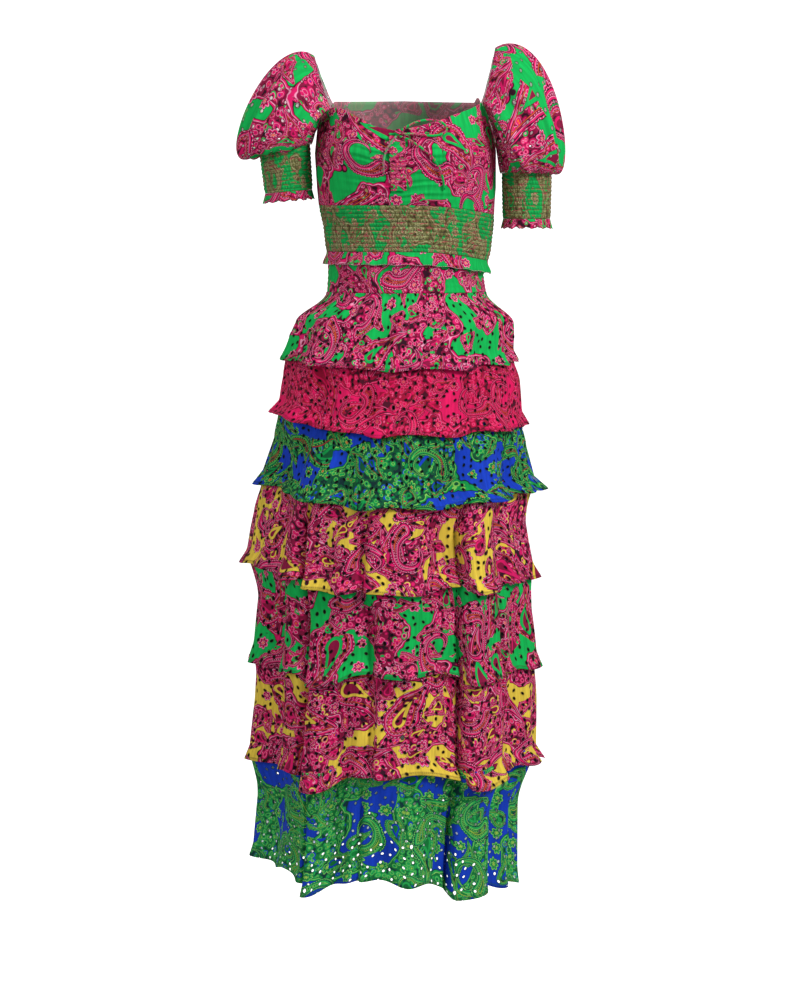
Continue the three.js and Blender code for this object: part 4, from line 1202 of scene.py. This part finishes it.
def sleeve_point(sleeve, turn, v):
    head_out, head_lift, end_out, end_drop, depth = sleeve["puff"]
    side = sleeve["side"]
    mouth = sleeve_mouth(sleeve, turn)
    end = cuff_ring(sleeve["cuff"], side, turn, WALL + 2.5 * SEAM_GAP)
    end[..., 2] -= 1
    upper = np.maximum(0, np.cos(turn))
    lower = np.maximum(0, -np.cos(turn))
    across = np.sin(turn)
    reach = mix(1, 0.16, lower)
    first = mouth + point(side * (head_out * upper + 20 * (1 - upper) * reach),
                          -depth * 0.9 * across * reach, head_lift * upper * reach)
    second = end + point(side * (end_out * upper + 2 * lower), -depth * across * reach,
                         -end_drop * mix(0.5, 1, upper) * reach)
    v = np.asarray(v)[..., None]
    w = 1 - v
    return w ** 3 * mouth + 3 * w * w * v * first + 3 * w * v * v * second + v ** 3 * end


def sleeve_surface(sleeve, turn, v):
    """The puff with its gathers: they crowd at the armhole and the cuff and open out between."""
    step = 0.004
    high, low = np.minimum(1, v + step), np.maximum(0, v - step)
    along = sleeve_point(sleeve, turn, high) - sleeve_point(sleeve, turn, low)
    round_it = sleeve_point(sleeve, turn + step, v) - sleeve_point(sleeve, turn - step, v)
    normal = np.cross(along, round_it) * sleeve["side"]
    normal /= np.maximum(np.linalg.norm(normal, axis=-1, keepdims=True), 1e-9)
    open_share = np.sin(math.pi * v)
    wave = (2.6 * open_share + 0.8) * np.cos(14 * turn) * (0.3 + 0.7 * ease(v * 8) * ease((1 - v) * 8))
    sway = 0.4 * np.sin(3 * turn + sleeve["side"]) + 0.5 * v
    fine = 1.0 * np.cos(27 * turn + 2.2 * sway) * np.exp(-v / 0.3)
    fine = fine + 1.1 * np.cos(31 * turn - 1.6 * sway) * np.exp(-(1 - v) / 0.25)
    fine = fine + 1.8 * np.cos(9 * turn + 2.5 * v + sway) * open_share
    fine = fine + 0.9 * np.cos(19 * turn + 3 * v + sway) * open_share
    quiet = np.where(np.cos(turn) < -0.8, 0.4, 1.0) * ease(v * 16 + 0.15) * ease((1 - v) * 14 + 0.1)
    rise = wave + fine * quiet
    return sleeve_point(sleeve, turn, v) + normal * rise[..., None]


# The length of a sleeve's flat cloth, from the armhole to the cuff
SLEEVE_LENGTH = 175


def sleeve_flat(turn, v):
    return on_cloth(turn * SLEEVE_RADIUS, -v * SLEEVE_LENGTH)


# The grid of half a CAD sleeve, and the cells (column, row) that have an eyelet
SLEEVE_CAD_COLUMNS = 14
SLEEVE_CAD_ROWS = [0, 0.2, 0.42, 0.66, 0.87, 1]
SLEEVE_CUT_CELLS = [(2, 2), (5, 1), (7, 3)]


def sleeve_cuts():
    """The places on the flat cloth of the eyelets that are cut through the CAD sleeve."""
    cuts = []
    for half in (1, -1):
        for i, j in SLEEVE_CUT_CELLS:
            at = half * math.pi * (i + 0.5) / SLEEVE_CAD_COLUMNS
            v = (SLEEVE_CAD_ROWS[j] + SLEEVE_CAD_ROWS[j + 1]) / 2
            cuts.append(sleeve_flat(np.array(at), np.array(v)))
    return np.array(cuts)


def make_sleeve(sleeve):
    turn = turn_line(288)
    v = rows_between(0, 1, 64)
    points = sleeve_surface(sleeve, turn[:, :-1], v)
    flat = sleeve_flat(turn, v)
    name = f"sleeve_{sleeve['name']}"
    mesh = cloth_mesh(name, points, flat, True, cuts=sleeve_cuts(), flip=sleeve["side"] > 0)
    return sew(name, mesh, "green", 11.3 + sleeve["side"], inside=SLEEVE_INSIDE, hole=SLEEVE_EYELET,
               replaced=[f"{name}_front", f"{name}_back"])


def make_cuff(sleeve):
    turn = turn_line(260)
    side = sleeve["side"]
    t = rows_between(0, 1, 46)
    start, end = np.array(sleeve["cuff"], float), np.array(sleeve["cuff_end"], float)
    ring = [mix(start[k], end[k], t) for k in range(6)]
    length = start[2] - end[2]
    flat = on_cloth(turn * CUFF_RADIUS, -t * length)
    rise = 1.2 * smocked_rise(flat[..., 0], -flat[..., 1]) * inside_edges(t, 9, 9)
    points = cuff_ring(ring, side, turn, rise)[:, :-1]
    name = f"cuff_{sleeve['name']}"
    mesh = cloth_mesh(name, points, flat, True, flip=side > 0)
    return sew(name, mesh, "smocked", 14.6 + side, **SMOCKED_CLOTH)


def make_cuff_frill(sleeve):
    turn = turn_line(224)
    side = sleeve["side"]
    t = rows_between(0, 1, 10)
    wave = 1.5 * np.cos(14 * turn + 0.5 * np.sin(3 * turn)) + 0.5 * np.cos(25 * turn + 1)
    x0, y0, z0, width, depth, tilt = sleeve["cuff_end"]
    ring = (x0, y0, z0 - SEAM_GAP - t * CUFF_FRILL_LENGTH, width, depth, tilt)
    points = cuff_ring(ring, side, turn, t * (2.2 + wave))
    points[..., 2] -= t * wave
    flat = on_cloth(turn * CUFF_RADIUS, -t * 14)
    name = f"cuff_{sleeve['name']}_frill"
    mesh = cloth_mesh(name, points[:, :-1], flat, True, flip=side > 0)
    return sew(name, mesh, "green", 16.1 + side, eyelets=False, ground_share=0.6)


# Bow

TIE_MOTIF = 0.016
PALE_TIE = (0.3, 0.3, 0.3, 1.0)
KNOT = (-3, -114.2, -121)
LOOP_ROUTE = [
    (1.8, -114.4, -118.6), (12, -112.6, -111.5), (26, -110.2, -105.5), (44, -107.6, -103),
    (60, -103.6, -106.5), (67.5, -102.2, -115), (62, -105.4, -123), (48, -109.8, -126),
    (32, -110.6, -125), (16, -112.4, -123.5), (2, -114.6, -123.2),
]
RIGHT_TAIL_ROUTE = [
    (-0.4, -114.8, -126.9), (12, -113.4, -131), (27, -113, -140.5), (42, -114.7, -152),
    (53.5, -112.4, -166), (61, -106, -183), (65, -98.8, -203),
]
LEFT_TAIL_ROUTE = [
    (-5.4, -115.4, -126.6), (-11, -117.8, -133), (-17.5, -117.8, -143), (-22, -114.6, -154),
    (-23.5, -113.2, -166), (-23.5, -109, -180),
]


def smooth_route(route, steps):
    """Points on a smooth curve through a route."""
    p = np.array(route, float)
    p = np.vstack([2 * p[0] - p[1], p, 2 * p[-1] - p[-2]])
    made = []
    for k in range(1, len(p) - 2):
        for t in np.arange(steps) / steps:
            a, b, c, d = p[k - 1:k + 3]
            made.append(0.5 * (2 * b + (c - a) * t + (2 * a - 5 * b + 4 * c - d) * t * t
                               + (3 * b - a - 3 * c + d) * t ** 3))
    made.append(p[-2])
    return np.array(made)


def smooth_mesh(name, vertices, faces, spots):
    """A smooth mesh. spots are the places on the flat cloth of the corners of its faces, in metres."""
    mesh = bpy.data.meshes.new(name)
    mesh.from_pydata(vertices.tolist(), [], faces)
    layer = mesh.uv_layers.new(name="cloth")
    layer.data.foreach_set("uv", np.asarray(spots).astype(np.float32).ravel())
    mesh.polygons.foreach_set("use_smooth", [True] * len(faces))
    mesh.update()
    return mesh


def make_tie(name, route, diameter, pale):
    """A narrow tube of turned cloth, with a seam along it and closed ends."""
    path = smooth_route(route, 5)
    along = np.gradient(path, axis=0)
    along /= np.linalg.norm(along, axis=1, keepdims=True)
    side = np.cross(along, (0.0, -1.0, 0.0))
    side /= np.linalg.norm(side, axis=1, keepdims=True)
    up = np.cross(side, along)
    sides = 16
    turn = np.linspace(0, TURN, sides, endpoint=False)
    length = np.concatenate([[0], np.cumsum(np.linalg.norm(np.diff(path, axis=0), axis=1))])
    rings = []
    for k in range(len(path)):
        swell = 1 + 0.04 * math.sin(length[k] * 1.3)
        radius = diameter / 2 * swell * (1 - 0.10 * bell(turn, math.pi, 0.35))
        across = side[k] * (radius * np.cos(turn))[:, None]
        rings.append(path[k] + across + up[k] * (radius * np.sin(turn))[:, None])
    vertices = np.vstack(rings) * MM
    faces = []
    places = []
    for k in range(len(path) - 1):
        for s in range(sides):
            a, b = k * sides + s, k * sides + (s + 1) % sides
            faces.append((a, b, b + sides, a + sides))
            u0, u1 = s / sides * diameter * 3.1, (s + 1) / sides * diameter * 3.1
            places += [(u0, length[k]), (u1, length[k]), (u1, length[k + 1]), (u0, length[k + 1])]
    last = (len(path) - 1) * sides
    faces.append(tuple(range(sides))[::-1])
    faces.append(tuple(last + s for s in range(sides)))
    places += [(0, 0)] * sides + [(0, length[-1])] * sides
    mesh = smooth_mesh(name, vertices, faces, np.array(places) * MM)
    material = cloth_material(name + "_cloth", PRINTS["green"], 19.5, wrong=pale, eyelets=False,
                              motif=TIE_MOTIF, tone=PALE_TIE)
    piece = add_piece(name, mesh, [material], [name])
    return piece


def make_knot():
    """The tie wrapped once round itself."""
    rows, columns = 24, 36
    v = np.linspace(0.02, 0.98, rows + 1)[:, None] * math.pi
    turn = np.linspace(0, TURN, columns, endpoint=False)[None, :]
    swell = 1 + 0.07 * np.cos(3 * turn + 2.2 * v) - 0.10 * bell(np.sin(turn * 0.5 - 0.6), 0, 0.12)
    x = KNOT[0] + 4.5 * np.sin(v) * np.cos(turn) * swell
    y = KNOT[1] + 3.5 * np.sin(v) * np.sin(turn) * swell
    z = KNOT[2] + 5.0 * np.cos(v) + 0 * turn
    vertices = point(x, y, z).reshape(-1, 3) * MM
    faces = [(j * columns + i, (j + 1) * columns + i, (j + 1) * columns + (i + 1) % columns,
              j * columns + (i + 1) % columns) for j in range(rows) for i in range(columns)]
    faces.append(tuple(range(columns)))
    faces.append(tuple(rows * columns + i for i in range(columns))[::-1])
    spots = [(vertices[k][0], vertices[k][2]) for face in faces for k in face]
    mesh = smooth_mesh("bow_knot", vertices, faces, spots)
    material = cloth_material("knot_cloth", PRINTS["green"], 20.5, eyelets=False, motif=TIE_MOTIF)
    return add_piece("bow_knot", mesh, [material], ["bow_knot"])


waistband = make_waistband()
midriff = make_midriff()
top_hem = make_top_hem()
seam = SEAM_GAP * 0.6
front_end = math.pi / 2 - seam / 103
back_end = math.pi / 2 - seam / 95
bodice_front = make_bodice("bodice_front", -front_end, front_end, FRONT_EDGE, 260, True, 1.2)
bodice_back = make_bodice("bodice_back", math.pi - back_end, math.pi + back_end, BACK_EDGE, 160, False, 2.6)
channel = make_channel()
sleeves = [make_sleeve(sleeve) for sleeve in SLEEVES]
cuffs = [make_cuff(sleeve) for sleeve in SLEEVES]
frills = [make_cuff_frill(sleeve) for sleeve in SLEEVES]
make_knot()
make_tie("bow_loop_right", LOOP_ROUTE, 3.6, 0.0)
make_tie("tie_end_right", RIGHT_TAIL_ROUTE, 3.2, 0.0)
make_tie("tie_end_left", LEFT_TAIL_ROUTE, 3.2, 0.3)


# Rims and stitches

def nodes_tree(name, sizes):
    """A Geometry Nodes tree with named sizes, and a short way to add its nodes."""
    tree = bpy.data.node_groups.new(name, "GeometryNodeTree")
    tree.interface.new_socket("Base", in_out="INPUT", socket_type="NodeSocketGeometry")
    for label, value in sizes:
        socket = tree.interface.new_socket(label, in_out="INPUT", socket_type="NodeSocketFloat")
        socket.default_value = value
    tree.interface.new_socket("Material", in_out="INPUT", socket_type="NodeSocketMaterial")
    tree.interface.new_socket("Made", in_out="OUTPUT", socket_type="NodeSocketGeometry")
    entry = tree.nodes.new("NodeGroupInput")
    leave = tree.nodes.new("NodeGroupOutput")
    return Sums(tree), entry.outputs, leave.inputs


def finish_tree(s, points, instance, rotation, given, out):
    """Puts the instance on each point, as real geometry with the tree's material."""
    inputs = {"Points": points, "Instance": instance, "Rotation": rotation}
    instances = s.make("GeometryNodeInstanceOnPoints", inputs).outputs[0]
    real = s.make("GeometryNodeRealizeInstances", {"Geometry": instances}).outputs[0]
    inputs = {"Geometry": real, "Material": given["Material"]}
    s.tree.links.new(s.make("GeometryNodeSetMaterial", inputs).outputs[0], out["Made"])
    return s.tree


def rim_tree():
    """A ring of whipped thread round each larger eyelet."""
    s, given, out = nodes_tree("Eyelet rims", [
        ("Rim Length", 0.0072), ("Rim Width", 0.0052), ("Thread", 0.0009)])
    ring = s.make("GeometryNodeCurvePrimitiveCircle", {"Resolution": 20, "Radius": 1.0}).outputs[0]
    size = s.join(s.times(given["Rim Width"], 0.5), s.times(given["Rim Length"], 0.5), 1.0)
    oval = s.make("GeometryNodeTransform", {"Geometry": ring, "Scale": size}).outputs[0]
    section = s.make("GeometryNodeCurvePrimitiveCircle",
                     {"Resolution": 6, "Radius": s.times(given["Thread"], 0.5)}).outputs[0]
    rim = s.make("GeometryNodeCurveToMesh", {"Curve": oval, "Profile Curve": section}).outputs[0]
    turn = s.make("GeometryNodeInputNamedAttribute", {"Name": "turn"}, data_type="FLOAT_VECTOR").outputs[0]
    rotation = s.make("FunctionNodeEulerToRotation", {0: turn}).outputs[0]
    return finish_tree(s, given["Base"], rim, rotation, given, out)


def stitch_tree():
    """Running stitches along a hem, each leaning a little its own way."""
    s, given, out = nodes_tree("Hem stitches", [
        ("Spacing", 0.0032), ("Stitch Length", 0.0021), ("Thread", 0.0005)])
    line = s.make("GeometryNodeMeshToCurve", {"Mesh": given["Base"]}).outputs[0]
    spaced = s.make("GeometryNodeResampleCurve", {"Curve": line, "Length": given["Spacing"]},
                    mode="LENGTH").outputs[0]
    stitch = s.make("GeometryNodeMeshCylinder", {"Vertices": 5, "Radius": s.times(given["Thread"], 0.5),
                                                 "Depth": given["Stitch Length"]}).outputs["Mesh"]
    tangent = s.make("GeometryNodeInputTangent").outputs[0]
    most = 0.12
    lean = s.make("FunctionNodeRandomValue", {"Min": (-most, -most, -most), "Max": (most, most, most),
                                              "Seed": 7}, data_type="FLOAT_VECTOR").outputs[0]
    along = s.vector("ADD", tangent, lean)
    rotation = s.make("FunctionNodeAlignRotationToVector", {"Vector": along}, axis="Z").outputs[0]
    return finish_tree(s, spaced, stitch, rotation, given, out)


def thread_material(name, colour):
    """Matt cotton thread, a little darker in places."""
    material, s = empty_material(name)
    tree = s.tree
    place = s.make("ShaderNodeTexCoord").outputs["Object"]
    mottle = s.noise(place, 900.0, 2.0).outputs["Fac"]
    shader = s.make("ShaderNodeBsdfPrincipled")
    darker = [c * 0.55 for c in colour[:3]] + [1.0]
    tree.links.new(s.colour(s.step(mottle, 0.35, 0.65), darker, colour), shader.inputs["Base Color"])
    bump = s.make("ShaderNodeBump", {"Height": mottle, "Strength": 0.5, "Distance": 0.0002})
    tree.links.new(bump.outputs["Normal"], shader.inputs["Normal"])
    shader.inputs["Roughness"].default_value = 0.75
    s.make("ShaderNodeOutputMaterial", {"Surface": shader.outputs["BSDF"]})
    return material


RIMS = rim_tree()
STITCHES = stitch_tree()


def grown(name, base, tree, material):
    """The plain mesh that a Geometry Nodes tree makes on a base mesh."""
    piece = placed(name, base)
    modifier = piece.modifiers.new("nodes", "NODES")
    modifier.node_group = tree
    for item in tree.interface.items_tree:
        if item.item_type == "SOCKET" and item.in_out == "INPUT" and item.name == "Material":
            modifier[item.identifier] = material
    depsgraph = bpy.context.evaluated_depsgraph_get()
    made = bpy.data.meshes.new_from_object(piece.evaluated_get(depsgraph))
    piece.modifiers.remove(modifier)
    piece.data = made
    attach(piece, "root")
    return piece


def rim_base(name, surface, places):
    """A point for each rim, with the turn that lays it on the cloth. places are on the surface."""
    step = 0.002
    middles = []
    turns = []
    for u, v in places:
        u, v = np.array([u]), np.array([v])
        across = Vector((surface(u + step, v) - surface(u - step, v))[0]).normalized()
        up = Vector((surface(u, v - step) - surface(u, v + step))[0])
        facing = across.cross(up).normalized()
        up = facing.cross(across)
        middles.append(tuple(surface(u, v)[0] * MM))
        turns += tuple(Matrix((across, up, facing)).transposed().to_euler())
    mesh = bpy.data.meshes.new(name)
    mesh.from_pydata(middles, [], [])
    attribute = mesh.attributes.new("turn", "FLOAT_VECTOR", "POINT")
    attribute.data.foreach_set("vector", turns)
    return mesh


def line_base(name, line):
    """A closed line through points in millimetres."""
    count = len(line)
    mesh = bpy.data.meshes.new(name)
    mesh.from_pydata((line * MM).tolist(), [(k, (k + 1) % count) for k in range(count)], [])
    return mesh


def hem_base(n, above=3.4, lift=0.35):
    """A closed line on a tier, a little above its hem."""
    share = TIER_SHARES[:-1] - SEAM_TURN
    v = np.full(TIER_COLUMNS, 1 - above / tier_length(n))
    line = tier_surface(n, share, v) + outwards(gather_angle(share)) * lift
    return line_base(f"tier_{n + 1}_hem_line", line)


def tier_place(n, cut):
    """Share and v on a tier of a place on its flat cloth."""
    return np.interp(cut[0], CLOTH_RUNS[n], TIER_SHARES) - SEAM_TURN, -cut[1] / tier_length(n)


THREADS = {
    "green": rgb(70, 14, 44), "yellow": rgb(74, 16, 44), "pink": rgb(96, 8, 42), "blue": rgb(8, 60, 52),
    "sea": rgb(30, 120, 80),
}
for n, tier_piece in enumerate(tiers):
    thread = thread_material(f"{tier_piece.name}_thread", THREADS[TIER_PRINTS[n]])
    places = [tier_place(n, cut) for cut in tier_cuts(n)]
    base = rim_base(f"{tier_piece.name}_rims", lambda u, v, n=n: tier_surface(n, u, v), places)
    rims = grown(f"{tier_piece.name}_rims", base, RIMS, thread)
    stitches = grown(f"{tier_piece.name}_stitches", hem_base(n), STITCHES, thread)
sleeve_extras = []
for sleeve in SLEEVES:
    name = f"sleeve_{sleeve['name']}_rims"
    thread = thread_material(f"{name}_thread", THREADS["green"])
    whole = sleeve_flat(np.array(1.0), np.array(1.0))
    places = [(cut[0] / whole[0], cut[1] / whole[1]) for cut in sleeve_cuts()]
    base = rim_base(name, lambda u, v, sleeve=sleeve: sleeve_surface(sleeve, u, v), places)
    sleeve_extras.append([grown(name, base, RIMS, thread)])


# Stitches along the edge of the top's hem frill


for n, tier_piece in enumerate(tiers):
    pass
hem_turn = np.linspace(0, TURN, TOP_HEM_COLUMNS, endpoint=False)
edge_line = top_hem_surface(hem_turn, np.full(TOP_HEM_COLUMNS, 0.97))
edge_line[..., :2] *= 1.004
edge_mesh = line_base("top_hem_edge_line", edge_line)
pale_thread = thread_material("top_hem_thread", rgb(232, 196, 206))
top_hem_edge = grown("top_hem_edge", edge_mesh, STITCHES, pale_thread)
for sleeve, cuff, frill, sleeve_piece, extras in zip(SLEEVES, cuffs, frills, sleeves, sleeve_extras):
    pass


# Stage and light

PALE = (0.94, 0.94, 0.94, 1.0)


def pale_material():
    """Pale paint that looks even to the camera and lights the dress only a little."""
    material = bpy.data.materials.new("pale_backdrop")
    material.use_nodes = True
    s = Sums(material.node_tree)
    shader = material.node_tree.nodes["Principled BSDF"]
    seen = s.make("ShaderNodeLightPath").outputs["Is Camera Ray"]
    s.tree.links.new(s.colour(seen, BLACK, PALE), shader.inputs["Base Color"])
    s.tree.links.new(s.add(s.times(seen, 0.46), 0.46), shader.inputs["Emission Strength"])
    shader.inputs["Emission Color"].default_value = PALE
    shader.inputs["Roughness"].default_value = 0.9
    shader.inputs["Specular IOR Level"].default_value = 0.0
    material.cycles.emission_sampling = "NONE"
    return material


def make_backdrop():
    """A round pale floor that curves up into a pale wall, far enough off for a view from any side."""
    floor_z, wall, round_off, sides = -1.46, 7.0, 1.0, 64
    profile = [(0.001, floor_z), (wall - round_off, floor_z)]
    for k in range(1, 9):
        turn = k / 8 * math.pi / 2
        profile.append((wall - round_off + round_off * math.sin(turn),
                        floor_z + round_off - round_off * math.cos(turn)))
    profile.append((wall, 5.0))
    around = np.linspace(0, TURN, sides, endpoint=False)
    vertices = [(r * math.cos(a), r * math.sin(a), z) for r, z in profile for a in around]
    faces = []
    for k in range(len(profile) - 1):
        low, high = k * sides, (k + 1) * sides
        for i in range(sides):
            after = (i + 1) % sides
            faces.append((low + i, low + after, high + after, high + i))
    faces.append(tuple(range(sides))[::-1])
    mesh = bpy.data.meshes.new("backdrop")
    mesh.from_pydata(vertices, [], faces)
    mesh.polygons.foreach_set("use_smooth", [True] * len(faces))
    mesh.materials.append(pale_material())
    placed("backdrop", mesh)


def soft_light(name, place, size, watts, aim=(0, 0, -0.62)):
    data = bpy.data.lights.new(name, "AREA")
    data.size = size
    data.energy = watts
    light = placed(name, data)
    light.location = place
    light.rotation_euler = (Vector(aim) - Vector(place)).to_track_quat("-Z", "Y").to_euler()


make_backdrop()
soft_light("key_light", (2.6, -2.4, 1.4), 0.9, 116, (0, 0, -0.34))
soft_light("fill_light", (-2.8, -2.0, 0.6), 1.2, 27, (0, 0, -0.4))
soft_light("top_light", (-0.2, -0.9, 2.2), 0.9, 24, (0, 0, -0.2))
world = bpy.data.worlds.new("studio")
bpy.context.scene.world = world
world.use_nodes = True
world.node_tree.nodes["Background"].inputs["Color"].default_value = (1, 1, 1, 1)
world.node_tree.nodes["Background"].inputs["Strength"].default_value = 0.15
